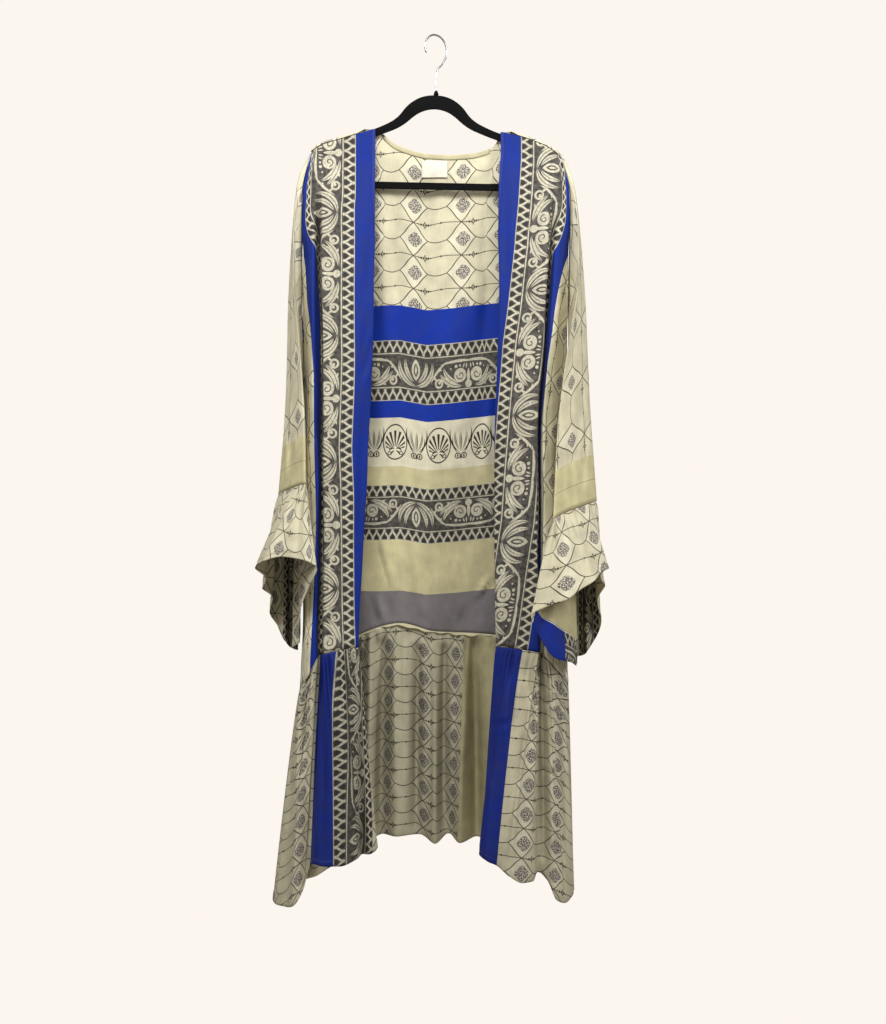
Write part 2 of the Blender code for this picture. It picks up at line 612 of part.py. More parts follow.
def build_hook(chrome):
    route = hook_route()
    curve = bpy.data.curves.new("hook", "CURVE")
    curve.dimensions = "3D"
    curve.bevel_depth = WIRE_RADIUS * MM
    curve.bevel_resolution = 2
    curve.use_fill_caps = True
    spline = curve.splines.new("POLY")
    spline.points.add(len(route) - 1)
    for point, (along, height) in zip(spline.points, route):
        point.co = (along * math.cos(HOOK_YAW) * MM, along * math.sin(HOOK_YAW) * MM, height * MM, 1)
    hook = bpy.data.objects.new("hook", curve)
    hook.data.materials.append(chrome)
    collection.objects.link(hook)


def build():
    start_scene()
    print_cloth = finish("cream_print", (0.63, 0.58, 0.41), 0.6)
    border_cloth = finish("border_print", (0.05, 0.1, 0.5), 0.55)
    black = finish("black_flock", (0.01, 0.01, 0.012), 0.85)
    chrome = finish("bright_wire", (0.7, 0.7, 0.72), 0.2, 1.0)
    left, right, back = build_bodice(print_cloth, border_cloth)
    build_trim(left, right, back, border_cloth, print_cloth)
    build_skirt(left, right, back, print_cloth, border_cloth)
    build_sleeves(print_cloth)
    build_hanger(black, chrome)


build()
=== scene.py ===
# Open-front kimono-style robe on a slim hanger: its cloth, prints, stitching and light.
# The tables and the functions that shape the cloth are those of the part's source, in millimetres.
import math
from functools import reduce

import bmesh
import bpy
import numpy as np
from mathutils import Euler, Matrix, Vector


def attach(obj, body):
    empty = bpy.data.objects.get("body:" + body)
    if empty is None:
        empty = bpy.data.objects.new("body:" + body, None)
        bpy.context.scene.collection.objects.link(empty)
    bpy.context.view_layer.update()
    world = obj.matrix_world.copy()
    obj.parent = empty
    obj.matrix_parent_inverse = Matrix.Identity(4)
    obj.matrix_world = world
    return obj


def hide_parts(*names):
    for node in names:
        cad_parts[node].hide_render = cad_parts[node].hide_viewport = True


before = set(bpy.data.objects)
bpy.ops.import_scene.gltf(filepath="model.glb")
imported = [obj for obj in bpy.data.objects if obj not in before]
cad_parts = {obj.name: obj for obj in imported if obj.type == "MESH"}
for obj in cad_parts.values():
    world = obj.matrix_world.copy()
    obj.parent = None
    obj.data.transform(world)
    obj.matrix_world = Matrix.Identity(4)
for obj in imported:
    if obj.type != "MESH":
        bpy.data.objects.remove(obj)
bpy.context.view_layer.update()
MM = 0.001


# Cloth. Lengths are in millimetres, but for the camera's and the studio's
SEAM_GAP = 0.4        # clear gap between neighbouring pieces
CUFF_GAP = 0.8        # the same round a cuff, whose ring is tight at its front
ARMHOLE_STEP = 1.7    # how far outside the bodice's wall the sleeve's wall starts
SEAM_RUN = 3.0        # cloth below a gathered seam that still follows the piece above
SETTLE = 45.0         # fall below the shoulder or neckline over which a panel leaves it for its table
SPREAD_EARLY = 0.85   # power of the fall that a gathered piece spreads with, below 1 to spread early
BINDING_DEPTH = 8.0   # binding inside the back neck
BINDING_END = 88.0    # how far along x the binding shows, from the middle
LABEL_X = (-23.0, 18.0)         # left and right edges of the label
LABEL_Z = (-198.4, -225.4)      # its top and foot

# Hanger
HANGER_THICK = 4.6
HANGER_EASE = 1.0     # radius of the hanger's eased edges
HANGER_TILT = math.radians(1.2)
CROWN_TOP = -95.0     # top of the hanger's middle, under the hook
CROWN_DEEP = 22.0     # height of its material there
BAR_TOP = -235.0      # top edge of the crossbar
BAR_DEEP = 11.0
HOOK_RADIUS = 21.0    # inner radius of the hook's bow
HOOK_YAW = math.radians(40)    # how far the hook is turned about its shank
WIRE_RADIUS = 1.4
COLLAR_TOP = -88.0
COLLAR_BOTTOM = -95.5
COLLAR_HEIGHT = COLLAR_TOP - COLLAR_BOTTOM - 1.0
COLLAR_SIDES = 40
HOOK_START = -40      # the bow of the hook, in degrees round its centre from the side of the shank
HOOK_END = 205

# Heights of the shoulder ridge, the top of the cloth over the hanger's arms
RIDGE_X = [-222, -212, -206, -198, -184, -152, -120, -97, 103, 131, 168, 188, 203, 210, 220]
RIDGE_Z = [-240, -206, -192, -180, -171, -161, -151, -145, -150, -156, -169, -180, -194, -208, -240]
RIDGE_HALF = 4.6      # half the depth of the fold that the cloth makes over an arm
WRAP = math.radians(-80)       # where the back ends, in front of the ridge
WRAP_AT_NECK = math.radians(60)    # the same beside a neck point, behind the ridge
SHOULDER_RELIEF = 2.2          # extra gap under the back's edge where the shoulder is steep
WRAP_LAST = math.radians(70)   # where the lines over the fold end
NECK_BACK = 6.6       # how far behind the hanger the neckline lies
NECK_FALL = 12        # height of the straight cloth under the neckline's edge
NECK_FADE = (6, 30)   # distances from a neck point between which the back's edge crosses the ridge

# Back neckline, from the left neck point to the right one
NECK_X = [-97, -84, -68, -41, -15, 21, 54, 77, 95, 103]
NECK_Z = [-145, -156, -170, -181, -187, -189, -187, -182, -172, -150]

# Front panels. Each row is a level: its height, then (x, y) of the cloth edge, the turn that shows as
# the front edge, the middle of the printed border, the crest beside the deep fold, the bottom of that
# fold, its outer crest, the outer part and the side
FRONT_LEFT = [
    (-190, (-97, -6), (-103.5, -6), (-129, -6), (-168, -6),
     (-184, -6), (-192, -6), (-197, -6), (-200, -5)),
    (-258, (-98, -10.5), (-103.5, -14), (-129, -14), (-175, -20),
     (-188, -18), (-200, -14), (-209, -11), (-213, -7)),
    (-341, (-99, -14.5), (-98.2, -21), (-128, -27), (-179, -33),
     (-186, -9), (-193, -29), (-206, -21), (-213, -9)),
    (-417, (-103, -19.5), (-99, -25), (-128, -34), (-177, -41),
     (-183, -11), (-189, -37), (-205, -26), (-213, -9)),
    (-491, (-104, -23), (-99, -29), (-127, -40), (-176, -48),
     (-181.5, -14), (-187, -44), (-201, -34), (-212, -2)),
    (-585, (-111, -25), (-103, -32), (-127, -44), (-175, -53),
     (-181, -16), (-187, -48), (-200, -38), (-212, -2)),
    (-727, (-122, -27), (-109, -36), (-130, -49), (-174, -60),
     (-180, -20), (-186, -54), (-200, -44), (-211, -2)),
    (-836, (-135, -28), (-115, -39), (-136, -52), (-173, -64),
     (-180, -26), (-187, -58), (-201, -48), (-212, -2)),
    (-961, (-149, -32), (-121, -44), (-140, -57), (-173, -68),
     (-180.5, -38), (-188, -62), (-202, -52), (-214, -2)),
    (-1050, (-151, -34), (-123, -46), (-141, -59), (-174, -70),
     (-181.5, -46), (-189, -64), (-204, -54), (-218, -2)),
]
FRONT_RIGHT = [
    (-190, (103, -6), (109.5, -6), (132, -6), (168, -6),
     (183, -6), (191, -6), (196, -6), (199, -5)),
    (-258, (99.6, -10.5), (104.8, -14.4), (131, -15), (176, -21),
     (188, -18), (200, -14), (209, -11), (213, -7)),
    (-341, (102.5, -14), (100, -20.5), (126, -28), (175, -35),
     (182, -13), (189, -30), (201, -21), (212, -9)),
    (-421, (112, -17), (100, -26), (132, -36), (171, -44),
     (177, -14), (183, -40), (193, -31), (211, -9)),
    (-496, (121, -17), (98, -28), (127, -41), (166, -50),
     (172, -18), (178, -46), (189, -37), (209, -2)),
    (-636, (123, -17), (93, -31), (120, -46), (157, -56),
     (163, -20), (169, -53), (180, -45), (208, -2)),
    (-776, (130, -18), (92, -33), (119, -49), (157, -60),
     (163, -26), (169, -57), (182, -49), (208, -2)),
    (-961, (160, -26), (94, -41), (121, -55), (158, -65),
     (164.5, -46), (171, -62), (185, -54), (209, -2)),
    (-1050, (162, -28), (94, -43), (122, -57), (159, -67),
     (165.5, -46), (172, -64), (187, -56), (212, -2)),
]

# Back panel. Each row is a level: its height, then (x, y) at the left side, three soft folds, the
# middle, three soft folds and the right side
BACK = [
    (-190, (-200, 5), (-178, 6), (-140, 6), (-94, 6),
     (0, 6), (101, 6), (140, 6), (178, 6), (199, 5)),
    (-258, (-213, 7), (-186, 12), (-140, 13), (-80, 11),
     (0, 14), (78, 11), (140, 13), (186, 12), (213, 7)),
    (-341, (-213, 9), (-188, 19), (-142, 21), (-82, 17),
     (0, 22), (78, 17), (140, 21), (184, 19), (212, 9)),
    (-491, (-213, 2), (-190, 29), (-144, 31), (-84, 26),
     (0, 33), (78, 26), (138, 31), (184, 29), (209, 2)),
    (-727, (-211, 2), (-192, 38), (-146, 41), (-86, 36),
     (0, 43), (76, 36), (136, 41), (184, 38), (208, 2)),
    (-961, (-214, 2), (-195, 44), (-148, 48), (-88, 43),
     (0, 50), (76, 43), (136, 48), (184, 44), (209, 2)),
    (-1050, (-218, 2), (-197, 46), (-150, 50), (-90, 45),
     (0, 52), (76, 45), (136, 50), (186, 46), (212, 2)),
]

# Low waist seam: its height along x, in front and behind
WAIST_FRONT_X = [-220, -205, -180, -120, 90, 160, 190, 214]
WAIST_FRONT_Z = [-1042, -1026, -984, -974, -973, -980, -1008, -1036]
WAIST_BACK_X = [-220, -190, -140, -60, 0, 60, 140, 190, 214]
WAIST_BACK_Z = [-1042, -1004, -968, -944, -958, -960, -970, -1004, -1036]

# Skirt tier. Each row is a crest or a hollow of a gather: its place along the bodice's lower edge as a
# share of the edge, then x, y and z at the hem
SKIRT_LEFT = [
    (0.00, -96, -34, -1280), (0.05, -92, -52, -1286), (0.12, -102, -70, -1293),
    (0.18, -116, -52, -1297), (0.24, -124, -76, -1300), (0.33, -148, -88, -1308),
    (0.42, -172, -89, -1308), (0.50, -188, -80, -1306), (0.57, -198, -60, -1318),
    (0.64, -208, -66, -1352), (0.72, -222, -70, -1374), (0.80, -236, -53, -1379),
    (0.87, -250, -44, -1378), (0.94, -258, -22, -1376), (1.00, -260, -1, -1374),
]
SKIRT_RIGHT = [
    (0.00, 92, -40, -1284), (0.07, 72, -58, -1288), (0.14, 66, -78, -1291), (0.22, 80, -92, -1300),
    (0.30, 94, -84, -1308), (0.37, 112, -92, -1322), (0.44, 134, -88, -1334), (0.51, 151, -76, -1334),
    (0.57, 160, -50, -1326), (0.64, 173, -58, -1336), (0.72, 188, -66, -1366), (0.80, 203, -58, -1372),
    (0.88, 214, -38, -1368), (0.94, 219, -20, -1366), (1.00, 220, -1, -1366),
]
SKIRT_BACK = [
    (0.00, -260, 1, -1374), (0.04, -258, 22, -1373), (0.09, -240, 34, -1370), (0.14, -222, 62, -1366),
    (0.19, -196, 48, -1356), (0.24, -172, 72, -1346), (0.29, -142, 46, -1332), (0.34, -112, 70, -1304),
    (0.38, -88, 68, -1292), (0.42, -64, 42, -1290), (0.46, -28, 66, -1291), (0.50, -2, 38, -1301),
    (0.54, 20, 68, -1290), (0.58, 38, 40, -1300), (0.62, 66, 64, -1296), (0.67, 92, 48, -1304),
    (0.72, 116, 72, -1320), (0.77, 138, 48, -1330), (0.82, 160, 70, -1342), (0.87, 182, 48, -1352),
    (0.92, 200, 60, -1360), (0.96, 217, 26, -1364), (1.00, 220, 1, -1366),
]

# Sleeves. Each row is a ring below the armhole: (x, y, z) of its outer fold, front, inner fold and back
SLEEVE_LEFT = [
    ((-220, 0, -228), (-226, -30, -356), (-216, -3, -484), (-226, 28, -356)),
    ((-229, 0, -300), (-230, -52, -420), (-215, -4, -524), (-231, 46, -420)),
    ((-236, 0, -420), (-230, -66, -500), (-214.6, -5, -580), (-233, 56, -500)),
    ((-240, 0, -580), (-230, -75, -612), (-214, -7, -655), (-236, 62, -620)),
    ((-252, 0, -734), (-232, -82, -718), (-214, -9, -736), (-240, 66, -748)),
]
SLEEVE_RIGHT = [
    ((218, 0, -228), (226, -30, -356), (213.4, -3, -484), (225, 28, -356)),
    ((229, 0, -300), (232, -51, -420), (212, -4, -524), (230, 46, -420)),
    ((238, 0, -420), (230, -66, -500), (211, -5, -580), (232, 56, -500)),
    ((245, 0, -580), (214, -79, -620), (210.6, -8, -670), (232, 64, -620)),
    ((256, 0, -744), (199, -87, -772), (210.8, -10, -798), (234, 68, -760)),
]
ARMHOLE_TOP = -189
ARMHOLE_LOW = -462
ROUND_TOP = 14        # how fast the armhole's ring opens from its top, and from its low end
ROUND_LOW = 10

# Flounces. Each row is a crest or a hollow of the hem: its place round the cuff as a share of the
# ring, from the outer fold by the front, then x, y and z at the hem
FLOUNCE_LEFT = [
    (0.00, -278, -8, -884), (0.05, -270, -28, -866), (0.10, -284, -50, -850), (0.15, -276, -76, -842),
    (0.20, -262, -100, -836), (0.25, -238, -104, -830), (0.30, -214, -116, -832),
    (0.36, -194, -106, -838), (0.42, -181, -108, -850), (0.46, -204, -88, -880),
    (0.50, -222, -62, -915), (0.55, -227, -36, -950), (0.60, -222, -10, -968), (0.65, -231, 14, -980),
    (0.70, -224, 40, -986), (0.75, -240, 66, -984), (0.80, -247, 48, -972), (0.85, -260, 64, -950),
    (0.90, -272, 42, -925), (0.95, -264, 14, -900),
]
FLOUNCE_RIGHT = [
    (0.00, 269, -6, -880), (0.04, 259, -28, -862), (0.08, 270, -52, -850), (0.12, 255, -74, -856),
    (0.16, 242, -102, -868), (0.19, 222, -106, -880), (0.22, 202, -112, -896), (0.25, 180, -106, -904),
    (0.29, 160, -102, -922), (0.34, 170, -92, -953), (0.39, 182, -96, -985), (0.46, 212, -66, -996),
    (0.52, 222, -36, -1004), (0.59, 218, -8, -1002), (0.66, 228, 18, -1006), (0.72, 222, 44, -1000),
    (0.77, 238, 68, -998), (0.82, 246, 50, -990), (0.87, 258, 64, -975), (0.92, 268, 42, -940),
    (0.96, 259, 16, -905),
]

FRONT_PARTS = (1, 3, 3, 4, 4, 3, 3)   # columns between a front panel's stations


def smooth_slopes(knots, values):
    """Slopes of a curve through the values that never overshoots them."""
    gaps = np.diff(knots)
    rises = np.diff(values, axis=0) / gaps[:, None]
    slopes = np.zeros_like(values)
    before, after = rises[:-1], rises[1:]
    same_way = before * after > 0
    total = np.where(same_way, before + after, 1.0)
    slopes[1:-1] = np.where(same_way, 2 * before * after / total, 0.0)
    slopes[0] = rises[0]
    slopes[-1] = rises[-1]
    return slopes


def smooth(knots, values, at):
    """Values at the given places of a smooth curve through the knots."""
    knots = np.asarray(knots, float)
    values = np.asarray(values, float)
    flat = values.reshape(len(knots), -1)
    slopes = smooth_slopes(knots, flat)
    at = np.clip(np.atleast_1d(np.asarray(at, float)), knots[0], knots[-1])
    low = np.clip(np.searchsorted(knots, at, side="right") - 1, 0, len(knots) - 2)
    gap = (knots[low + 1] - knots[low])[:, None]
    t = (at - knots[low])[:, None] / gap
    made = ((1 + 2 * t) * (1 - t) ** 2 * flat[low] + t * (1 - t) ** 2 * gap * slopes[low]
            + t * t * (3 - 2 * t) * flat[low + 1] + t * t * (t - 1) * gap * slopes[low + 1])
    return made.reshape((len(at),) + values.shape[1:])


def eased(low, high, value):
    """0 below low, 1 above high and a soft step between."""
    t = np.clip((value - low) / (high - low), 0, 1)
    return t * t * (3 - 2 * t)


def ridge_height(x):
    """Height of the shoulder ridge at each x."""
    return smooth(RIDGE_X, RIDGE_Z, x)


def fall_rows(count):
    """Shares of a fall, closer together near the top."""
    steps = np.linspace(0, 1, count + 1)
    return FIRST_FALL * steps + (1 - FIRST_FALL) * steps ** TOP_CROWDING


def station_shares(parts):
    """Shares of a panel's width with the given number of columns between its stations."""
    shares = [0.0]
    for gap, count in enumerate(parts):
        for step in range(count):
            shares.append((gap + (step + 1) / count) / len(parts))
    return shares


def steepness(x):
    """Length of the shoulder line for each millimetre of x."""
    rise = float(ridge_height(x + 1)[0] - ridge_height(x - 1)[0]) / 2
    return math.hypot(1, rise)


def between_points(wanted, places, line):
    """Points at the wanted places along a line whose own points lie at the given places."""
    return np.stack([np.interp(wanted, places, line[:, axis]) for axis in range(3)], axis=1)


def finer(line, times):
    """The points of a line with extra points along its straight stretches."""
    places = np.arange(len(line), dtype=float)
    return between_points(np.linspace(0, len(line) - 1, (len(line) - 1) * times + 1), places, line)


def unit(vectors):
    """Vectors of length 1 that point the same way."""
    return vectors / np.maximum(np.linalg.norm(vectors, axis=-1, keepdims=True), 1e-9)


def below_edge(last, before):
    """Directions in the cloth, away from its lower edge and square to that edge."""
    along = unit(np.gradient(last, axis=0))
    down = last - before
    return unit(down - np.sum(down * along, axis=1)[:, None] * along)


def gathered(start, way, hem, lines, gap):
    """Lines of points from a gathered seam to its hem: a short run that follows the piece above, then
    the fall to the hem."""
    top = start + way * gap
    run = start + way * (gap + SEAM_RUN)
    grid = [top]
    for line in range(lines):
        fall = line / (lines - 1)
        spread = fall ** SPREAD_EARLY
        level = run * (1 - fall) + hem * fall
        level[:, :2] = run[:, :2] * (1 - spread) + hem[:, :2] * spread
        grid.append(level)
    return np.array(grid)


def ring_points(knots, shares):
    """Points round a closed ring through its stations, which are evenly spread."""
    knots = np.asarray(knots, float)
    count = len(knots)
    made = []
    for share in shares:
        place = (share % 1.0) * count
        low = int(place) % count
        t = place - int(place)
        before, here = knots[low - 1], knots[low]
        there, after = knots[(low + 1) % count], knots[(low + 2) % count]
        lean_in, lean_out = (there - before) / 2, (after - here) / 2
        made.append((2 * t ** 3 - 3 * t ** 2 + 1) * here + (t ** 3 - 2 * t ** 2 + t) * lean_in
                    + (3 * t ** 2 - 2 * t ** 3) * there + (t ** 3 - t ** 2) * lean_out)
    return np.array(made)


def line_lengths(line):
    """Distance of each point of a line from its first point, along the line."""
    steps = np.linalg.norm(np.diff(line, axis=0), axis=1)
    return np.concatenate([[0], np.cumsum(steps)])


def along_line(line, distances):
    """Points at distances along a line of points, from its first point."""
    return between_points(distances, line_lengths(line), line)


def back_height_points(back, xs, heights):
    """Points on the back panel's own facets, for a small piece that lies on it."""
    made = np.zeros((len(heights), len(xs), 3))
    for line, height in enumerate(heights):
        level = np.array([[np.interp(-height, -back[:, column, 2], back[:, column, axis])
                           for axis in range(2)] for column in range(back.shape[1])])
        made[line, :, 0] = xs
        made[line, :, 1] = np.interp(xs, level[:, 0], level[:, 1])
        made[line, :, 2] = height
    return made


def hanger_outline():
    """Outer and inner outlines of the hanger, half of each, from the middle to the end of an arm."""
    outer = [(0, CROWN_TOP), (-13, -96), (-26, -100), (-38, -107.5), (-47, -116), (-54, -126), (-62, -134),
             (-72, -140.5), (-96, -151.6), (-130, -161.8), (-160, -170), (-180, -178), (-190, -186),
             (-195, -198), (-195, -220), (-189, -236), (-178, BAR_TOP - BAR_DEEP), (0, BAR_TOP - BAR_DEEP)]
    inner = [(0, CROWN_TOP - CROWN_DEEP), (-12, -118.5), (-24, -123), (-34, -130), (-44, -139),
             (-56, -147.5), (-72, -154.5), (-96, -163.5), (-130, -174), (-158, -183), (-174, -191),
             (-181, -202), (-181, -216), (-177, -227), (-168, BAR_TOP), (0, BAR_TOP)]
    return outer, inner


def hook_route():
    """Points of the hook's wire in its own plane: distance from the shank's line, and height."""
    centre = -HOOK_RADIUS
    ring = HOOK_RADIUS + WIRE_RADIUS
    foot = CROWN_TOP + SEAM_GAP + COLLAR_HEIGHT + SEAM_GAP
    route = [(0, foot), (0, -74), (0.6, -62), (4.5, -52), (12, -43.5)]
    for angle in np.linspace(HOOK_START, HOOK_END, HOOK_STEPS):
        turn = math.radians(angle)
        route.append((ring * math.cos(turn), centre + ring * math.sin(turn)))
    return route


# Sizes of the finer cloth
THIN = 0.5            # thickness of the cloth
TRIM_THIN = 0.5       # thickness of strips and labels
FRONT_FINER = 4       # columns here for each column of the solid
FRONT_LINES = 150
BACK_COLUMNS = 120
BACK_LINES = 130
RIDGE_LINES = 9       # lines over the fold at the shoulder
SLEEVE_COLUMNS = 120
SLEEVE_LINES = 110
SKIRT_FINER = 2
SKIRT_LINES = 72
FLOUNCE_FINER = 2
FLOUNCE_LINES = 52
HOOK_STEPS = 20       # points round the hook's bow
FIRST_FALL = 0.012    # share of a panel's fall that keeps its first line off the seam
TOP_CROWDING = 1.25   # power that brings a panel's lines closer together near its top
HEM_TURN = 9.0        # depth of the turned hem
HEM_RISE = 0.8        # how far the turned hem stands up
HEM_STEP = 1.2        # width of the step at its top
CREASE_DEPTH = 1.7    # how many times the depth in its row each crease is pressed
CREASE_ENDS = 0.3     # share of its depth that a crease keeps at its ends
RIM_HEIGHT = 0.35     # share of that depth by which the cloth rises beside a crease
RIM_AWAY = 1.9        # distance of that rise from the crease, in widths of it
SIDE_EASE = 14        # how fast the soft folds of a skirt panel grow from its side edges
INNER_FOLD_EASE = 2.2           # how much nearer the body the soft sleeves' inner folds lie
SKIRT_GATHERS = (2.6, 90)       # height of the small gathers under a seam, and how far down they reach
SKIRT_FOLD_HEIGHT = 2.6         # height of the wide soft folds
SKIRT_FRONT_COUNTS = (24, 7)    # number of small gathers and of wide folds
SKIRT_BACK_COUNTS = (46, 13)
FLOUNCE_GATHERS = (2.2, 60)
FLOUNCE_FOLD_HEIGHT = 2.8
FLOUNCE_COUNTS = (30, 9)
FRONT_RIPPLE = 0.95    # height of the low ripples all over the cloth
BACK_RIPPLE = 1.5
UNDER_ARM = -492.0     # height of the armholes' foot, where the side seams start
SIDE_SEAM_STEPS = 120
SIDE_SEAM_LAP = 0.15   # share of the gap by which a side seam reaches onto each panel
HOOK_TIP = 0.75        # thickness of the wire at the hook's tip, as a share of the rest
STRIP_ROWS = (0.2, 1.4, 2.8, 4.4, 5.0)    # places of an edge strip's rows, from the front edge
BINDING_ROWS = (0.2, 2.0, 4.0, 6.0, BINDING_DEPTH)    # the same for the binding, from the neckline
STRIP_LIFT = 0.75      # how far an edge strip lies over the cloth
BINDING_LIFT = 1.0     # the same for the binding
LABEL_LIFT = 1.2       # the same for the top of the label
LABEL_CURL = 1.1       # how much further its foot curls off
SIDES = (("left", -1), ("right", 1))

# Stitches: distance from one to the next, then length, breadth and rise
EDGE_STITCH = (2.6, 1.9, 0.55, 0.28)
NECK_STITCH = (2.6, 1.8, 0.5, 0.25)
HEM_STITCH = (3.0, 2.1, 0.5, 0.22)
EDGE_STITCH_IN = 3.9      # distance of an edge's stitches from it
EDGE_STITCH_OUT = 1.3     # how far over the cloth they lie
NECK_STITCH_OUT = 1.4     # how far over the binding's row the neck's stitches lie
HEM_STITCH_DOWN = 1.2     # distance of a hem's stitches from the top of its turn
HEM_STITCH_OUT = 0.12     # how far over the cloth's face they lie
# Corners of a stitch's faces: its two ends, its two sides, its top and its foot
STITCH_FACES = [(0, 2, 4), (0, 4, 3), (0, 3, 5), (0, 5, 2), (1, 4, 2), (1, 3, 4), (1, 5, 3), (1, 2, 5)]

# Creases pressed into a piece: from x, z to x, z, then width and depth
CREASES_LEFT = [
    (-187, -258, -186, -650, 3.4, 6.0), (-190, -300, -189, -560, 5.0, 3.0),
    (-101, -488, -113, -546, 4, 2.0), (-108, -455, -120, -560, 5, 1.6),
    (-104, -300, -108, -420, 6, 1.2), (-168, -240, -163, -600, 9, 1.8),
    (-141, -700, -147, -966, 8, 1.6), (-112, -600, -122, -800, 6, 1.4),
    (-205, -300, -203, -640, 5, 2.2), (-196, -680, -200, -900, 7, 2.4),
    (-128, -205, -134, -330, 8, 1.0),
]
CREASES_RIGHT = [
    (158, -200, 146, -422, 10, 1.8), (134, -470, 120, -774, 8, 1.6), (116, -830, 108, -965, 6, 1.5),
    (186, -300, 176, -560, 6, 2.2), (150, -600, 146, -900, 9, 1.4), (112, -240, 108, -400, 5, 1.2),
    (198, -520, 192, -820, 7, 2.2), (140, -320, 126, -520, 6, 1.0),
]
CREASES_BACK = [
    (-90, -806, -66, -890, 3.0, 3.2), (-84, -806, -70, -842, 2.6, 2.0), (94, -862, 58, -906, 3.6, 3.0),
    (46, -904, 26, -950, 3.0, 2.4), (-3, -800, -4, -955, 4, 2.0), (70, -900, 84, -860, 2.6, 1.8),
    (-58, -930, -50, -950, 2.4, 1.8), (60, -930, 74, -905, 2.4, 1.8), (-30, -905, -22, -925, 2.2, 1.4),
    (-36, -815, -30, -900, 7, 2.0), (36, -820, 30, -880, 6, 1.8), (-22, -905, -18, -935, 5, 1.6),
    (88, -560, 80, -700, 8, 2.4), (-70, -480, -64, -600, 9, 1.8), (40, -500, 46, -640, 10, 1.6),
    (-96, -900, -80, -955, 6, 2.4), (-84, -300, -78, -520, 9, 1.6), (10, -230, 6, -430, 12, 1.2),
    (70, -260, 60, -480, 10, 1.4), (-150, -300, -158, -800, 14, 3.0), (150, -320, 158, -820, 14, 3.0),
    (-60, -640, -70, -760, 8, 1.2),
]
CREASES_SLEEVE = [
    (-236, -330, -238, -470, 5, 2.0), (-230, -520, -244, -640, 6, 2.4),
    (-240, -600, -226, -690, 5, 2.0), (-228, -640, -236, -724, 4, 2.2),
    (-246, -650, -240, -722, 4, 2.0), (-222, -560, -228, -700, 5, 2.0), (232, -330, 238, -480, 6, 2.0),
    (222, -540, 240, -640, 7, 2.6), (206, -640, 214, -740, 6, 2.4), (240, -620, 230, -720, 5, 2.2),
    (224, -600, 222, -700, 6, 2.0), (196, -660, 200, -752, 5, 2.0),
]
CREASES_SKIRT = [
    (-184, -1010, -196, -1270, 7, 2.6), (-150, -1000, -158, -1250, 7, 2.0),
    (-226, -1080, -240, -1340, 8, 2.6), (-208, -1060, -214, -1320, 6, 2.4),
    (-132, -1010, -128, -1240, 6, 1.8), (-238, -1120, -228, -1200, 6, 2.0),
    (100, -1010, 88, -1270, 7, 2.2), (136, -1000, 130, -1290, 8, 2.2), (182, -1060, 188, -1330, 7, 2.6),
    (166, -1168, 198, -1166, 4, 3.0), (160, -1062, 200, -1048, 5, 1.6), (80, -1100, 120, -1084, 5, 1.2),
    (169, -985, 170, -1300, 6, 8.0), (-200, -985, -206, -1340, 6, 6.0),
    (-168, -990, -170, -1200, 5, 2.4), (-118, -985, -120, -1150, 5, 2.6),
    (120, -985, 116, -1130, 5, 2.4), (92, -990, 84, -1180, 5, 2.0), (196, -1000, 204, -1300, 7, 6.0),
    (-222, -1000, -232, -1250, 6, 5.0), (146, -985, 150, -1120, 5, 2.2),
]
CREASES_SKIRT_BACK = [
    (-126, -980, -132, -1290, 10, 12.0), (-88, -980, -92, -1285, 11, 14.5),
    (-31, -985, -34, -1275, 7, 13.0), (13, -985, 10, -1280, 7, 13.5), (62, -980, 66, -1295, 11, 14.5),
    (108, -980, 116, -1300, 9, 12.0), (-60, -985, -62, -1130, 6, 1.8), (-12, -990, -10, -1110, 5, 1.6),
    (38, -990, 40, -1140, 6, 1.8), (-108, -985, -112, -1090, 5, 1.8), (84, -985, 86, -1120, 6, 2.0),
    (-46, -985, -46, -1060, 4, 1.4), (0, -985, 0, -1060, 4, 1.2), (26, -985, 26, -1070, 4, 1.4),
    (-76, -985, -76, -1080, 4, 1.4), (50, -1120, 46, -1285, 7, 2.6), (-12, -1150, -14, -1285, 7, 2.6),
    (-66, -1160, -70, -1285, 7, 2.4),
]


def panel_line(rows, share, heights):
    """(x, y) of a hanging panel at a share of its width, at each of the heights."""
    levels = np.array([row[0] for row in rows], float)
    stations = np.array([row[1:] for row in rows], float)
    at_heights = smooth(-levels, stations, -np.asarray(heights, float))
    places = np.linspace(0, 1, at_heights.shape[1])
    return smooth(places, at_heights.transpose(1, 0, 2), share)[0]


def hanging_line(rows, share, start, near, waist, falls):
    """Points of a panel's column from its start, where it lies at the y that near gives, to the waist."""
    x_bottom = panel_line(rows, share, [rows[-1][0]])[0, 0]
    bottom = float(smooth(*waist, x_bottom)[0])
    heights = start + (bottom - start) * falls
    line = panel_line(rows, share, heights)
    settle = eased(0, SETTLE, start - heights)
    return np.stack([line[:, 0], near * (1 - settle) + line[:, 1] * settle, heights], axis=1)


def front_piece(rows):
    """Fine grid of a front panel, from just below the back's edge on the shoulder to the waist."""
    shares = station_shares([count * FRONT_FINER for count in FRONT_PARTS])
    falls = fall_rows(FRONT_LINES)
    grid = np.zeros((len(falls), len(shares), 3))
    for column, share in enumerate(shares):
        x_top = panel_line(rows, share, [rows[0][0]])[0, 0]
        relief = SHOULDER_RELIEF * (steepness(x_top) - 1)
        top = float(ridge_height(x_top)[0]) - RIDGE_HALF - SEAM_GAP - relief
        grid[:, column] = hanging_line(rows, share, top, -RIDGE_HALF, (WAIST_FRONT_X, WAIST_FRONT_Z), falls)
    return grid


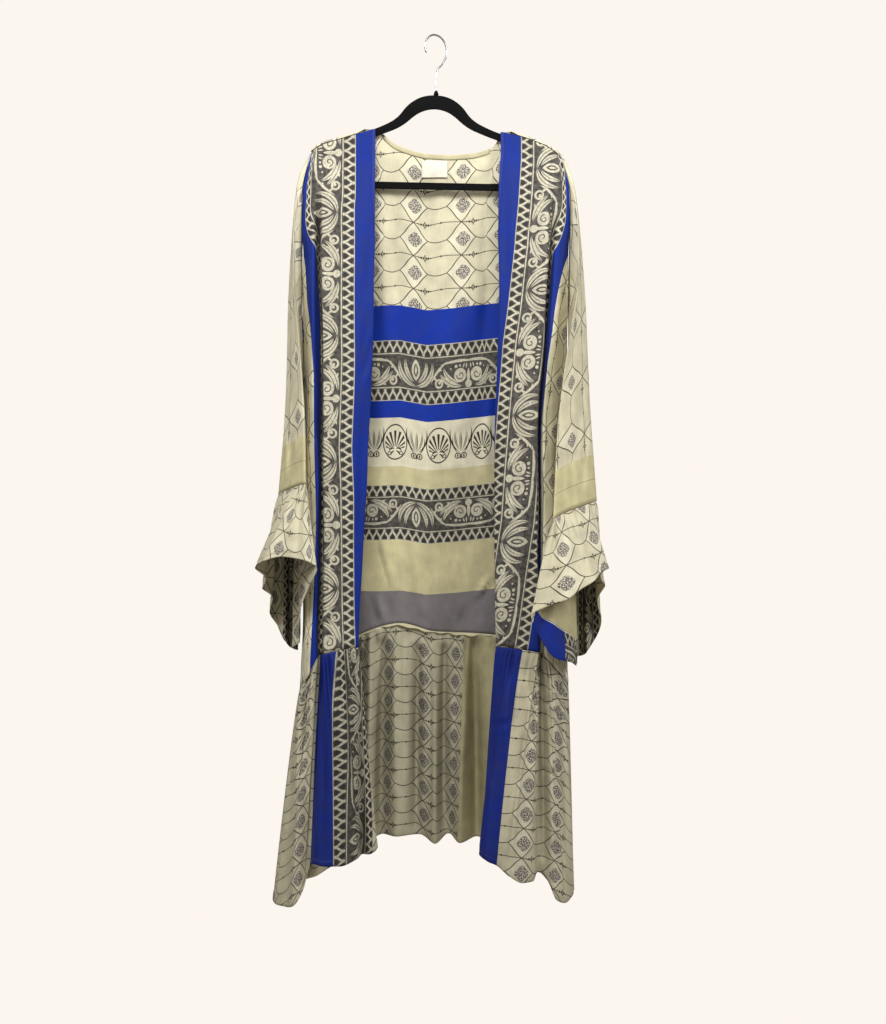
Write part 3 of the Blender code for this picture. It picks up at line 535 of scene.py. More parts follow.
def back_piece():
    """Fine grid of the back panel, which wraps over the hanger's arms outside the neck points."""
    shares = np.linspace(0, 1, BACK_COLUMNS + 1)
    falls = fall_rows(BACK_LINES)
    left_neck, right_neck = NECK_X[0], NECK_X[-1]
    grid = np.zeros((RIDGE_LINES + len(falls), len(shares), 3))
    for column, share in enumerate(shares):
        x_top = panel_line(BACK, share, [BACK[0][0]])[0, 0]
        on_shoulder = x_top <= left_neck or x_top >= right_neck
        if on_shoulder:
            start = float(ridge_height(x_top)[0]) - RIDGE_HALF
            from_neck = max(left_neck - x_top, x_top - right_neck)
            edge_turn = WRAP_AT_NECK + (WRAP - WRAP_AT_NECK) * float(eased(*NECK_FADE, from_neck))
            turns = np.linspace(edge_turn, WRAP_LAST, RIDGE_LINES)
            grid[:RIDGE_LINES, column, 1] = RIDGE_HALF * np.sin(turns)
            grid[:RIDGE_LINES, column, 2] = start + RIDGE_HALF * np.cos(turns)
        else:
            edge = float(smooth(NECK_X, NECK_Z, x_top)[0])
            start = edge - NECK_FALL
            grid[:RIDGE_LINES, column, 1] = NECK_BACK
            grid[:RIDGE_LINES, column, 2] = edge - NECK_FALL * np.arange(RIDGE_LINES) / RIDGE_LINES
        grid[:RIDGE_LINES, column, 0] = x_top
        near = RIDGE_HALF if on_shoulder else NECK_BACK
        waist = (WAIST_BACK_X, WAIST_BACK_Z)
        grid[RIDGE_LINES:, column] = hanging_line(BACK, share, start, near, waist, falls)
    return grid


def across_lengths(grid):
    """Length of cloth from the first column, along each line."""
    steps = np.linalg.norm(np.diff(grid, axis=1), axis=2)
    return np.concatenate([np.zeros((grid.shape[0], 1)), np.cumsum(steps, axis=1)], axis=1)


def down_lengths(grid):
    """Length of cloth from the first line, down each column."""
    steps = np.linalg.norm(np.diff(grid, axis=0), axis=2)
    return np.concatenate([np.zeros((1, grid.shape[1])), np.cumsum(steps, axis=0)], axis=0)


def creased(grid, creases, way):
    """The grid with creases pressed into it, along y."""
    made = grid.copy()
    spot = grid[:, :, (0, 2)]
    for x_1, z_1, x_2, z_2, width, depth in creases:
        start = np.array([x_1, z_1], float)
        run = np.array([x_2 - x_1, z_2 - z_1], float)
        along = np.clip(((spot - start) @ run) / (run @ run), 0, 1)
        away = np.linalg.norm(spot - start - along[:, :, None] * run, axis=2)
        strength = (CREASE_ENDS + (1 - CREASE_ENDS) * np.sin(np.pi * along) ** 0.8) * CREASE_DEPTH
        rim = RIM_HEIGHT * strength * np.exp(-((away - width * RIM_AWAY) / width) ** 2)
        made[:, :, 1] += way * depth * (strength * np.exp(-(away / width) ** 2) - rim)
    return made


def rippled(grid, height, seed):
    """The grid with low, uneven ripples all over it, as soft cloth has."""
    across = across_lengths(grid)
    down = down_lengths(grid)
    wave = (np.sin(across / 17 + down / 90 + seed) * np.sin(down / 61 + seed * 2.1)
            + 0.7 * np.sin(across / 9.5 - down / 47 + seed * 3.7) * np.sin(down / 83 + across / 70)
            + 0.5 * np.sin(across / 31 + down / 23 + seed * 1.3) * np.sin(across / 44 + seed))
    fade = eased(0, 40, down)
    return moved_out(grid, height * wave * fade)


def normals_of(grid):
    """Directions square to the cloth."""
    return unit(np.cross(np.gradient(grid, axis=1), np.gradient(grid, axis=0)))


def moved_out(grid, distance):
    """The grid's points moved square to the cloth."""
    return grid + normals_of(grid) * distance[:, :, None]


def closed_ring(grid):
    """The grid of a tube with its first column once more at its end."""
    return np.concatenate([grid, grid[:, :1]], axis=1)


def shares_across(grid):
    """Share of the grid's width at each column."""
    return np.linspace(0, 1, grid.shape[1])[None, :]


def shares_down(grid):
    """Share of the grid's fall at each line."""
    return np.linspace(0, 1, grid.shape[0])[:, None]


def moved_out_ring(grid, distance):
    """The same for a closed tube, whose last column meets its first."""
    wide = np.concatenate([grid[:, -2:], grid, grid[:, :2]], axis=1)
    amount = np.concatenate([distance[:, -2:], distance, distance[:, :2]], axis=1)
    return moved_out(wide, amount)[:, 2:-2]


def pucker(share, count, seed):
    """Height of small uneven gathers at places along a seam."""
    phase = count * share + 0.32 * np.sin(2 * np.pi * 3.0 * share + seed)
    phase = phase + 0.2 * np.sin(2 * np.pi * 7.0 * share + seed * 2)
    size = 0.68 + 0.32 * np.sin(2 * np.pi * 5.0 * share + seed * 3)
    return np.cos(2 * np.pi * phase) * size


def gathers(grid, count, height, reach, seed):
    """Heights of the small gathers below a seam, which die out towards the hem."""
    share = shares_across(grid)
    down = down_lengths(grid)
    uneven = 1 + 0.45 * np.sin(2 * np.pi * 4.0 * share + seed * 5)
    fade = (0.2 + 0.8 * eased(0, 14, down)) * np.exp(-(down / (reach * uneven)) ** 2)
    return height * pucker(share, count, seed) * fade


def side_ease(grid):
    """How freely each column folds: not at all along the side edges, where the next panel is sewn on."""
    share = shares_across(grid)
    return np.minimum(1, SIDE_EASE * share * (1 - share))


def soft_folds(grid, count, height, seed):
    """Heights of the soft folds between a gathered seam and its hem, deepest halfway down."""
    return height * pucker(shares_across(grid), count, seed) * np.sin(np.pi * shares_down(grid)) ** 0.7


def hem_rise(grid):
    """Heights that show the turned hem along the last line."""
    from_hem = down_lengths(grid[::-1])[::-1]
    return HEM_RISE * (1 - eased(HEM_TURN - HEM_STEP / 2, HEM_TURN + HEM_STEP / 2, from_hem))


def skirt_piece(bodice, folds, counts, seed):
    """Fine grid of a skirt panel, with the given counts of small gathers and of wide soft folds."""
    start = finer(bodice[-1], SKIRT_FINER)
    way = below_edge(start, finer(bodice[-2], SKIRT_FINER))
    places = np.array([fold[0] for fold in folds])
    knots = np.array([fold[1:] for fold in folds], float)
    hem = smooth(places, knots, np.linspace(0, 1, len(start)))
    grid = gathered(start, way, hem, SKIRT_LINES, SEAM_GAP)
    folded = (gathers(grid, counts[0], *SKIRT_GATHERS, seed)
              + soft_folds(grid, counts[1], SKIRT_FOLD_HEIGHT, seed * 1.7))
    return moved_out(grid, folded * side_ease(grid) + hem_rise(grid))


# Where the soft sleeves' front folds hang, which lie nearer the body than the solids' do: x, y, z for
# each ring below the armhole
FRONT_FOLD_LEFT = [(-225, -32, -356), (-222, -54, -420), (-213, -68, -500), (-205, -77, -612),
                   (-203, -84, -718)]
FRONT_FOLD_RIGHT = [(225, -32, -356), (221, -54, -420), (206, -71, -500), (190, -82, -620),
                    (182, -90, -772)]
# Points of the flounces' hems that hang wider than the solids' do: share, x, y, z
WIDER_HEM_LEFT = {
    0.46: (-196, -90, -880), 0.50: (-210, -66, -915), 0.55: (-215, -40, -950), 0.60: (-216, -12, -968),
}
WIDER_HEM_RIGHT = {
    0.22: (198, -118, -896), 0.25: (170, -110, -906), 0.29: (146, -114, -920), 0.34: (158, -102, -950),
}


def soft_rings(rows, front_fold, side):
    """A sleeve's rings with the front and inner folds where the soft cloth hangs."""
    made = []
    for (outer, _, inner, behind), front in zip(rows, front_fold):
        made.append((outer, front, (inner[0] - side * INNER_FOLD_EASE, *inner[1:]), behind))
    return made


def soft_hem(folds, wider):
    """The rows of a flounce's hem, with the wider ones in place of the solids' own."""
    return [(fold[0], *wider.get(round(fold[0], 2), fold[1:])) for fold in folds]


def sleeve_piece(side, rows):
    """Fine grid of a sleeve: from the armhole, through its rings, to the cuff."""
    shares = np.arange(SLEEVE_COLUMNS) / SLEEVE_COLUMNS
    front_rows = FRONT_LEFT if side < 0 else FRONT_RIGHT
    first = []
    for share in shares:
        down = 2 * min(share, 1 - share)
        height = ARMHOLE_TOP + (ARMHOLE_LOW - ARMHOLE_TOP) * down
        front = panel_line(front_rows, 1.0, [height])[0]
        back = panel_line(BACK, 0.0 if side < 0 else 1.0, [height])[0]
        x, y = front if share <= 0.5 else back
        narrow = min(1.0, min(share, 1 - share) * ROUND_TOP, abs(share - 0.5) * ROUND_LOW)
        first.append((x + side * ARMHOLE_STEP, y * narrow, height))
    rings = np.array([first] + [ring_points(row, shares) for row in rows])
    places = np.linspace(0, 1, len(rings))
    return smooth(places, rings, np.linspace(0, 1, SLEEVE_LINES + 1))


def flounce_piece(sleeve, folds, seed):
    """Fine grid of a flounce: from just under the cuff's ring to the waves of its hem."""
    closed = closed_ring(sleeve)
    start = finer(closed[-1], FLOUNCE_FINER)
    way = below_edge(start, finer(closed[-2], FLOUNCE_FINER))[:-1]
    start = start[:-1]
    places = np.array([fold[0] for fold in folds] + [1.0])
    knots = np.array([fold[1:] for fold in folds] + [folds[0][1:]], float)
    hem = smooth(places, knots, np.arange(len(start)) / len(start))
    grid = gathered(start, way, hem, FLOUNCE_LINES, CUFF_GAP)
    small, wide = FLOUNCE_COUNTS
    return moved_out_ring(grid, gathers(grid, small, *FLOUNCE_GATHERS, seed)
                          + soft_folds(grid, wide, FLOUNCE_FOLD_HEIGHT, seed * 1.9) + hem_rise(grid))


def placed(name, data):
    """A new object in the scene."""
    piece = bpy.data.objects.new(name, data)
    bpy.context.scene.collection.objects.link(piece)
    return piece


def smooth_mesh(name, points, faces):
    """A mesh with soft shading, from points in millimetres."""
    mesh = bpy.data.meshes.new(name)
    mesh.from_pydata((points.reshape(-1, 3) * MM).tolist(), [], faces.tolist())
    mesh.shade_smooth()
    return mesh


def cloth_mesh(name, grid, print_at, closed=False, thickness=THIN):
    """A thin cloth piece from its grid. print_at holds each point's place on the flat cloth, in
    millimetres, with one more column than the grid where the piece is a closed tube."""
    lines, columns = grid.shape[:2]
    index = np.arange(lines * columns).reshape(lines, columns)
    span = columns if closed else columns - 1
    near = np.arange(span)
    far = (near + 1) % columns
    corners = np.stack([index[:-1][:, near], index[1:][:, near], index[1:][:, far], index[:-1][:, far]],
                       axis=-1).reshape(-1, 4)
    flat = np.stack([print_at[:-1, :span], print_at[1:, :span], print_at[1:, 1:span + 1],
                     print_at[:-1, 1:span + 1]], axis=2).reshape(-1, 2)
    mesh = smooth_mesh(name, grid, corners)
    layer = mesh.uv_layers.new(name="cloth")
    layer.data.foreach_set("uv", (flat * MM).astype(np.float32).ravel())
    piece = placed(name, mesh)
    wall = piece.modifiers.new("thickness", "SOLIDIFY")
    wall.thickness = thickness * MM
    wall.offset = 0
    return piece


class Varies:
    """A value that varies over a surface: a node's output, with sums written as Python."""

    def __init__(self, board, socket):
        self.board = board
        self.socket = socket

    def sum_node(self, operation, *others):
        return self.board.math(operation, self, *others)

    def __add__(self, other):
        return self.sum_node("ADD", other)

    def __sub__(self, other):
        return self.sum_node("SUBTRACT", other)

    def __rsub__(self, other):
        return self.board.math("SUBTRACT", other, self)

    def __mul__(self, other):
        return self.sum_node("MULTIPLY", other)

    def __truediv__(self, other):
        return self.sum_node("DIVIDE", other)

    def __neg__(self):
        return self.sum_node("MULTIPLY", -1.0)

    def __abs__(self):
        return self.sum_node("ABSOLUTE")

    __radd__ = __add__
    __rmul__ = __mul__


class Board:
    """The nodes of one material."""

    def __init__(self, name, plain_colour):
        self.material = bpy.data.materials.new(name)
        self.material.use_nodes = True
        self.material.diffuse_color = (*plain_colour, 1.0)
        self.tree = self.material.node_tree
        self.shader = self.tree.nodes["Principled BSDF"]

    def node(self, kind, settings=None, values=None):
        """A new shader node with its settings and the values or links of its inputs."""
        made = self.tree.nodes.new("ShaderNode" + kind)
        for key, value in (settings or {}).items():
            setattr(made, key, value)
        for key, value in (values or {}).items():
            self.feed(made.inputs[key], value)
        return made

    def output(self, kind, settings=None, values=None, socket=0):
        """What a new node gives at one of its sockets."""
        return Varies(self, self.node(kind, settings, values).outputs[socket])

    def finish(self, **values):
        """Feeds the shader's inputs, each named with _ for every space, and gives the material."""
        for key, value in values.items():
            self.feed(self.shader.inputs[key.replace("_", " ")], value)
        return self.material

    def feed(self, socket, value):
        """Gives a socket a link to what varies, or a plain value."""
        if isinstance(value, Varies):
            self.tree.links.new(value.socket, socket)
        elif isinstance(value, tuple) and len(value) == 3 and socket.type == "RGBA":
            socket.default_value = (*value, 1.0)
        else:
            socket.default_value = value

    def math(self, operation, *values, clamp=False):
        return self.output("Math", {"operation": operation, "use_clamp": clamp}, dict(enumerate(values)))

    def mix(self, below, above, share):
        """Two colours mixed: below where the share is 0, above where it is 1."""
        return self.output("Mix", {"data_type": "RGBA"}, {0: share, 6: below, 7: above}, 2)

    def spot(self, x, y):
        return self.output("CombineXYZ", None, {0: x, 1: y})

    def away(self, spot, x, y):
        """Distance of a spot from a point."""
        return self.output("VectorMath", {"operation": "DISTANCE"}, {0: spot, 1: (x, y, 0.0)}, "Value")

    def scaled(self, spot, x, y):
        return self.output("VectorMath", {"operation": "MULTIPLY"}, {0: spot, 1: (x, y, 1.0)})

    def inside(self, distance, soft=0.5):
        """1 where a distance is below 0, with a soft edge."""
        return self.math("MULTIPLY_ADD", distance, -1.0 / soft, 0.5, clamp=True)

    def between(self, value, start, end, soft=0.5):
        """1 where a value lies from start to end, with soft edges."""
        return self.inside(abs(value - (start + end) / 2) - (end - start) / 2, soft)

    def lowest(self, *values):
        return reduce(lambda least, value: self.math("MINIMUM", least, value), values)

    def highest(self, *values):
        return reduce(lambda most, value: self.math("MAXIMUM", most, value), values)

    def wrapped(self, value, period):
        """Signed distance from the nearest whole period."""
        return self.math("WRAP", value, period / 2, -period / 2)

    def leaf(self, spot, start, end, bow, width, vein=0.0):
        """Distance from a leaf drawn from start to end, which bows to the left of the way it runs."""
        ahead = Vector((end[0] - start[0], end[1] - start[1]))
        half = ahead.length / 2
        left = Vector((-ahead.y, ahead.x)).normalized()
        middle = Vector(start) + ahead / 2

        def above(rise):
            rise = rise if abs(rise) > 0.01 else 0.01
            radius = (half * half + rise * rise) / (2 * abs(rise))
            way = 1 if rise > 0 else -1
            centre = middle + left * (rise - way * radius)
            return (self.away(spot, centre.x, centre.y) - radius) * way

        shape = self.highest(above(bow + width / 2), -above(bow - width / 2))
        if vein:
            shape = self.highest(shape, vein - abs(above(bow)))
        return shape

    def folded(self, value, period):
        """Distance from the nearest whole period."""
        return self.math("PINGPONG", value, period / 2)

    def noise(self, spot, scale, detail, dimensions="2D"):
        return self.output("TexNoise", {"noise_dimensions": dimensions},
                           {"Vector": spot, "Scale": scale, "Detail": detail})

    def bump(self, height, strength, distance):
        return self.output("Bump", None, {"Strength": strength, "Distance": distance, "Height": height})


def shade(red, green, blue):
    """A colour on the 0 to 255 scale of pictures, as light."""
    return tuple(((value / 255 + 0.055) / 1.055) ** 2.4 if value > 10 else value / 3295
                 for value in (red, green, blue))


CREAM = shade(216, 209, 178)
PALE = shade(226, 220, 192)
KHAKI = shade(206, 197, 153)
STONE = shade(127, 122, 122)
BLUE = shade(0, 46, 156)
# the same blue made darker as painted shade, for the skirt's fronts and the right flounce's blue piece
LOW_PAINTED_SHADE_BLUE = shade(0, 36, 136)
# the same blue a little darker on the fronts, as painted shade
FRONT_PAINTED_SHADE_BLUE = shade(0, 38, 132)
GROUND = shade(96, 91, 84)
GROUND_DARK = shade(50, 48, 46)
INK = shade(48, 41, 36)
MEDAL = shade(86, 78, 88)
SCROLL = shade(208, 202, 178)
SCROLL_DULL = shade(168, 162, 144)
BLACK_FLOCK = shade(4, 4, 5)
BRIGHT_WIRE = shade(205, 205, 208)

PAINTED_SHADE_TINT = shade(8, 8, 2)      # near-black mixed in as painted shade, which darkens the skirt's and the flounces' cloth for the dimmer light on them
SKIRT_PAINTED_SHADE = 0.3             # share of that painted shade in the skirt's cloth
# share of the same painted shade in the flounces' cloth
FLOUNCE_PAINTED_SHADE = 0.12

SCROLL_HALF = 26.5    # half the depth of the scroll border, in mm
BORDER_HALF = 48.5    # half the depth of the whole border, zigzags and lines too
BORDER_EDGE = BORDER_HALF - SCROLL_HALF    # depth of the zigzags and lines on each side
ZIGZAG_STEP = 15.0
VINE_REPEAT = 198.0
LATTICE_PITCH = 79.0
LATTICE_ROW = 52.8
LATTICE_HALF = 24.0      # half the width of a diamond
SLEEVE_PITCH = 91.0
SLEEVE_ROW = 80.0
SKIRT_ROW = 45.0
FRONT_LATTICE_AT = 170.0     # middle of the lattice on the fronts, out from the first white line
SKIRT_LATTICE_AT = 168.0     # the same on the skirt's fronts
BLUE_BAND = (97.0, 129.0)    # the blue band beyond the border
BLUE_REACH = 48.0            # how far the bodice's blue reaches on each side of the border
UPPER_BORDER = 533.6         # middle of the back's upper border, in height down at the middle
LOWER_BORDER = 763.2         # middle of the lower one
LOWER_SQUEEZE = 1.08         # how many times shallower it is than the upper one
BORDERS_PART = 640.0         # where one gives way to the other
BACK_SQUEEZE = 1.14          # how many times shorter their repeats are than on the fronts
PALMETTES_FROM = 677.0       # foot of the palmettes
PALMETTE_BAND = (611.0, 681.0)
PALMETTE_PITCH = 73.0
PLAIN_PANEL = (568.0, 700.0)     # plain stretch of the skirt's back
SLEEVE_BAND = (-74.0, 0.0)       # plain band before the cuff
SLEEVE_SEAM = (-36.5, -35.5)     # its seam
BLUE_FROM = 134.0        # slanted seam of the right flounce: how far down it starts, and its slope
BLUE_SLOPE = 0.24
PIPING = (0.9, 2.3)      # pale piping below that seam
WEAVE = 0.42             # pitch of the threads
# Plain cloths and threads: name, colour and roughness
TRIMS = [
    ("blue_edge_cloth", (34, 52, 140), 0.66), ("side_seam_cloth", (150, 142, 112), 0.66),
    ("cream_edge_cloth", (196, 188, 152), 0.66), ("bare_label_cloth", (232, 226, 208), 0.45),
    ("blue_thread", (70, 96, 190), 0.5), ("cream_thread", (190, 182, 148), 0.5),
    ("hem_thread", (128, 120, 92), 0.5),
]
# Beads of the lattice's beaded line: place along it, height over it and radius
LATTICE_BEADS = [(9.0, 0, 1.2), (13.4, 0, 1.9), (19.6, 4.6, 1.0), (19.6, -4.6, 1.0), (25.2, 0, 1.9),
                 (29.4, 0, 1.2), (-33.0, 0, 1.6)]
# Plain bands across the back: colour, then the heights down at the middle where each starts and ends
BACK_BANDS = [(BLUE, 429.0, 612.0), (PALE, 609.6, 690.0), (KHAKI, 688.0, 891.0), (STONE, 890.7, 1200.0)]


def vine(board, along, up):
    """Cream vine scroll of our own layout: a lotus bud at 0 and a pair of volutes half a repeat away.
    along and up are in millimetres, up from 0 to 53."""
    far = VINE_REPEAT / 2
    side = board.folded(along, VINE_REPEAT)
    spot = board.spot(side, up)

    def disc(x, y, radius):
        return board.away(spot, x, y) - radius

    def leaf(x_1, y_1, x_2, y_2, bow, width, vein=0.55):
        return board.leaf(spot, (x_1, y_1), (x_2, y_2), bow, width, vein)

    def blade(*shape):
        return leaf(*shape, 0.0)

    stem = board.lowest(blade(112, 10, 46, 13, 4.0, 4.6), blade(60, 6.5, 28, 42, 3.0, 4.4))
    heart = board.lowest(board.highest(blade(0, 39, 0, 4, 0, 16.5), -blade(0, 33, 0, 11, 0, 9.0)),
                         blade(0, 29, 0, 14, 0, 4.2))
    petals = board.lowest(leaf(2.5, 42, 20, 5, 6.5, 7.8), leaf(-2, 47.5, 31, 7, 12.5, 8.8),
                          disc(18.5, 27.5, 1.7), disc(20.0, 21.5, 1.9), disc(19.4, 15.6, 1.5))
    curl = board.lowest(abs(disc(44, 42, 6.2)) - 1.7, disc(45.4, 40.6, 2.7), blade(40, 38, 33, 29, 0, 3.6))
    wings = board.lowest(leaf(88, 48.5, 45, 26, -6.5, 8.2), leaf(82, 43, 52, 16.5, -6.5, 8.2))
    hook = board.lowest(board.highest(abs(disc(82.5, 31, 6.0)) - 0.85, 31 - up),
                        board.highest(abs(disc(85.2, 31, 3.3)) - 0.85, up - 31))
    volute = board.highest(disc(83.4, 31, 11.4), -hook)
    bulb = board.lowest(disc(far, 46.0, 6.2), blade(far, 47, far, 20, 0, 6.0))
    fan = board.lowest(blade(88.5, 19.5, 91.5, 11.5, 0, 2.6), blade(94.5, 20.5, 95.5, 11.5, 0, 2.6),
                       disc(75.5, 16.2, 2.7), disc(82.6, 15.4, 1.8), disc(66, 19.5, 1.4))
    sprig = board.lowest(blade(58, 48, 66, 43.5, 1.5, 3.4), blade(42, 24, 50, 21, -2, 3.2))
    return board.inside(board.lowest(stem, heart, petals, curl, wings, volute, bulb, fan, sprig), 0.6)


def border(board, along, up, centre_away):
    """The whole border over the cloth's colour: scroll, two lines and two zigzags each side."""
    mottle = board.noise(board.cloth, 150.0, 4.0)
    ground = board.mix(GROUND_DARK, GROUND, mottle * 2.2 - 0.6)
    scroll = vine(board, along, up)
    tooth = board.folded(along, ZIGZAG_STEP)
    half_step = ZIGZAG_STEP / 2
    middle = (SCROLL_HALF + BORDER_HALF) / 2 + 0.8
    spot = board.spot(tooth, centre_away)
    zigzag = abs(centre_away - (middle - 5.6 + 11.2 * tooth / half_step)) * 0.55 - 1.6
    cells = board.lowest(board.away(spot, 0, middle + 4.8) - 3.7,
                         board.away(spot, half_step, middle - 4.8) - 3.7)
    beads = board.lowest(board.away(spot, half_step, middle + 7.0) - 2.5,
                         board.away(spot, 0, middle - 7.0) - 2.3)
    zone = board.inside(SCROLL_HALF + 1.5 - centre_away, 0.4)
    ground = board.mix(ground, GROUND_DARK, board.inside(cells, 1.2) * zone)
    teeth = board.inside(board.lowest(zigzag, beads), 0.6) * zone
    lines = board.inside(board.lowest(abs(centre_away - SCROLL_HALF - 0.8) - 0.9,
                                      abs(centre_away - BORDER_HALF + 0.2) - 0.9), 0.5)
    drawn = board.highest(scroll * (1 - zone), teeth, lines)
    faded = board.mix(SCROLL, SCROLL_DULL, board.noise(board.cloth, 300.0, 3.0) * 2.4 - 0.8)
    return board.mix(ground, faded, drawn)


def with_border(board, colour, along, up, centre_away):
    """The colour with the border laid over it."""
    return board.mix(colour, border(board, along, up, centre_away),
                     board.inside(centre_away - BORDER_HALF, 0.4))


def lattice(board, along, across, pitch=LATTICE_PITCH, row=LATTICE_ROW):
    """Ogee lattice: diamonds with a mottled medallion, joined by sagging lines and, where the diamonds
    meet, by a beaded line. Gives the cloth's colour; along and across are in millimetres."""
    x = board.wrapped(along, pitch)
    y = board.wrapped(across, row)
    crossing = board.wrapped(across + row / 2, row)
    side = abs(x)
    slope = abs(y) / (row / 2)
    edge = side - LATTICE_HALF * (1 - slope) + 0.9 * board.math("SINE", slope * (2 * math.pi))
    sag = 3.6 * board.math("SINE", (side - LATTICE_HALF) * (math.pi / (pitch - 2 * LATTICE_HALF)))
    beaded = crossing - 1.4 * board.math("SINE", x * (2 * math.pi / pitch))
    spot = board.spot(x, beaded)
    lines = board.lowest(abs(edge) * 0.74 - 0.8, board.highest(abs(y - sag) - 0.7, LATTICE_HALF - side),
                         abs(beaded) - 0.6)
    dots = [board.away(spot, at, rise) - radius for at, rise, radius in LATTICE_BEADS]
    beads = board.lowest(abs(board.away(spot, 19.6, 0) - 2.6) - 0.8, *dots)
    medal_away = board.highest(board.away(board.spot(x, y), 2.6, 0.6) - 11.8,
                               (abs(x - 2.6) + abs(y - 0.6)) * 0.75 - 10.8)
    speck = board.noise(board.cloth, 560.0, 2.0)
    ground = board.mix(CREAM, PALE, board.inside(edge, 1.0))
    speckled = board.mix(PALE, MEDAL, board.math("MULTIPLY_ADD", speck, 9.0, -3.7, clamp=True))
    ground = board.mix(ground, speckled, board.inside(medal_away, 1.0))
    return board.mix(ground, INK, board.inside(board.lowest(lines, beads), 0.55) * 0.94)


def palmettes(board, along, up):
    """Row of oval palmettes with sprays of leaves between them, drawn in ink on the cream."""
    x = board.folded(along, PALMETTE_PITCH)
    spot = board.spot(x, up)

    def leaves(*shapes):
        return [board.leaf(spot, shape[0:2], shape[2:4], *shape[4:]) for shape in shapes]

    oval = board.away(board.scaled(spot, 1 / 19.5, 1 / 28.0), 0, 1.0)
    outline = abs(oval - 1) * 21 - 0.85
    base = board.away(spot, 0, 13.0)
    angle = board.math("ARCTAN2", x, up - 13.0)
    rays = board.math("COSINE", angle * 23)
    fan = board.highest(0.05 - rays, abs(base - 21 + angle * 4.5) - 12.5, (oval - 0.84) * 20, 17.0 - up)
    foot = board.lowest(*leaves((1.0, 17.0, 10.5, 13.0, 2.6, 2.6), (1.0, 14.0, 7.0, 6.5, 1.6, 2.4)),
                        abs(board.away(spot, 9.5, 10.0) - 2.6) - 0.7)
    spray = board.lowest(*leaves((36.5, 14, 36.5, 50, 0.0, 4.0, 0.5), (35.6, 16, 27.5, 51, 3.4, 3.2, 0.4),
                                 (34.2, 15, 20.0, 54, 6.4, 2.6), (33.0, 12, 23.5, 40, 3.8, 1.8)))
    drop = board.lowest(abs(board.away(spot, 31.5, 9.0) - 4.2) - 0.8,
                        *leaves((31.5, 6, 31.5, 12, 0.0, 2.6), (36.5, 3, 36.5, 11, 0.0, 2.2)))
    return board.inside(board.lowest(outline, fan, foot, spray, drop), 0.6)


def woven(board, colour, roughness=0.62, painted_shade=0.0):
    """The finish that all the cloth shares: uneven dye, soft sheen and a fine plain weave. The skirt's
    and the flounces' cloth is darkened by painted shade, a share of near-black mixed into its colour."""
    # painted shade: on the skirt and the flounces the colour is mixed towards a near-black
    if painted_shade:
        colour = board.mix(colour, PAINTED_SHADE_TINT, painted_shade)
    cloth = board.cloth
    patch = board.noise(cloth, 9.0, 3.0)
    slub = board.noise(board.scaled(cloth, 1.0, 0.06), 700.0, 2.0)
    cloudy = board.noise(cloth, 38.0, 4.0)
    dull = board.mix(colour, board.mix(colour, (0.03, 0.03, 0.03), 0.42),
                     patch * 0.3 + slub * 0.4 + cloudy * 1.1 - 0.55)
    turns = 2 * math.pi / WEAVE
    threads = board.math("SINE", board.x * turns) * board.math("SINE", board.y * turns)
    grain = threads * 0.4 + slub * 1.6 + board.noise(cloth, 55.0, 3.0) * 3.0
    return board.finish(Base_Color=dull, Normal=board.bump(grain, 0.35, 0.00035),
                        Roughness=patch * 0.12 + (roughness - 0.06), Sheen_Weight=0.04,
                        Sheen_Roughness=0.4, Specular_IOR_Level=0.16)


def cloth_board(name, colour):
    """A board with the place on the flat cloth: x across and y down, in millimetres."""
    board = Board(name, colour)
    board.cloth = board.output("UVMap", {"uv_map": "cloth"})
    parts = board.node("SeparateXYZ", None, {0: board.cloth})
    board.x = Varies(board, parts.outputs[0]) * 1000.0
    board.y = Varies(board, parts.outputs[1]) * 1000.0
    return board


def border_print(name, bud_at, skirt=False):
    """Cloth of the fronts: border down its edge, a blue band beyond it and lattice at the side. x is
    the distance outwards from the first white line and y the height down. On the bodice the blue
    runs along the front edge too; on a skirt the lattice does, with its rows level."""
    board = cloth_board(name, FRONT_PAINTED_SHADE_BLUE)
    centre_away = abs(board.x - BORDER_HALF)
    if skirt:
        colour = lattice(board, board.x - SKIRT_LATTICE_AT, board.y, LATTICE_PITCH, SKIRT_ROW)
        # the skirt's blue band takes the blue with painted shade
        colour = board.mix(colour, LOW_PAINTED_SHADE_BLUE, board.between(board.x, *BLUE_BAND))
    else:
        colour = lattice(board, board.y, board.x - FRONT_LATTICE_AT)
        # the bodice's blue is the fronts' blue with painted shade
        colour = board.mix(colour, FRONT_PAINTED_SHADE_BLUE, board.inside(centre_away - BORDER_HALF - BLUE_REACH)
                           * board.inside(board.x - BLUE_BAND[1]))
    colour = with_border(board, colour, board.y - bud_at, BORDER_HALF + SCROLL_HALF - board.x, centre_away)
    return woven(board, colour, painted_shade=SKIRT_PAINTED_SHADE if skirt else 0.0)


def back_print(name):
    """Cloth of the back: lattice, then bands across it. y is the height down at the middle."""
    board = cloth_board(name, CREAM)
    lower = board.inside(BORDERS_PART - board.y, 1.0)
    from_upper = board.y - UPPER_BORDER
    from_lower = (board.y - LOWER_BORDER) * LOWER_SQUEEZE
    colour = lattice(board, board.x - 41.0, board.y - 266.3)
    for band_colour, start, end in BACK_BANDS:
        colour = board.mix(colour, band_colour, board.between(board.y, start, end))
    drawn = palmettes(board, board.x + 69.3, PALMETTES_FROM - board.y)
    colour = board.mix(colour, INK, drawn * board.between(board.y, *PALMETTE_BAND))
    up = SCROLL_HALF + from_upper * (1 - lower) - from_lower * lower
    colour = with_border(board, colour, (board.x + 34.0) * BACK_SQUEEZE, up,
                         board.lowest(abs(from_upper), abs(from_lower)))
    return woven(board, colour)


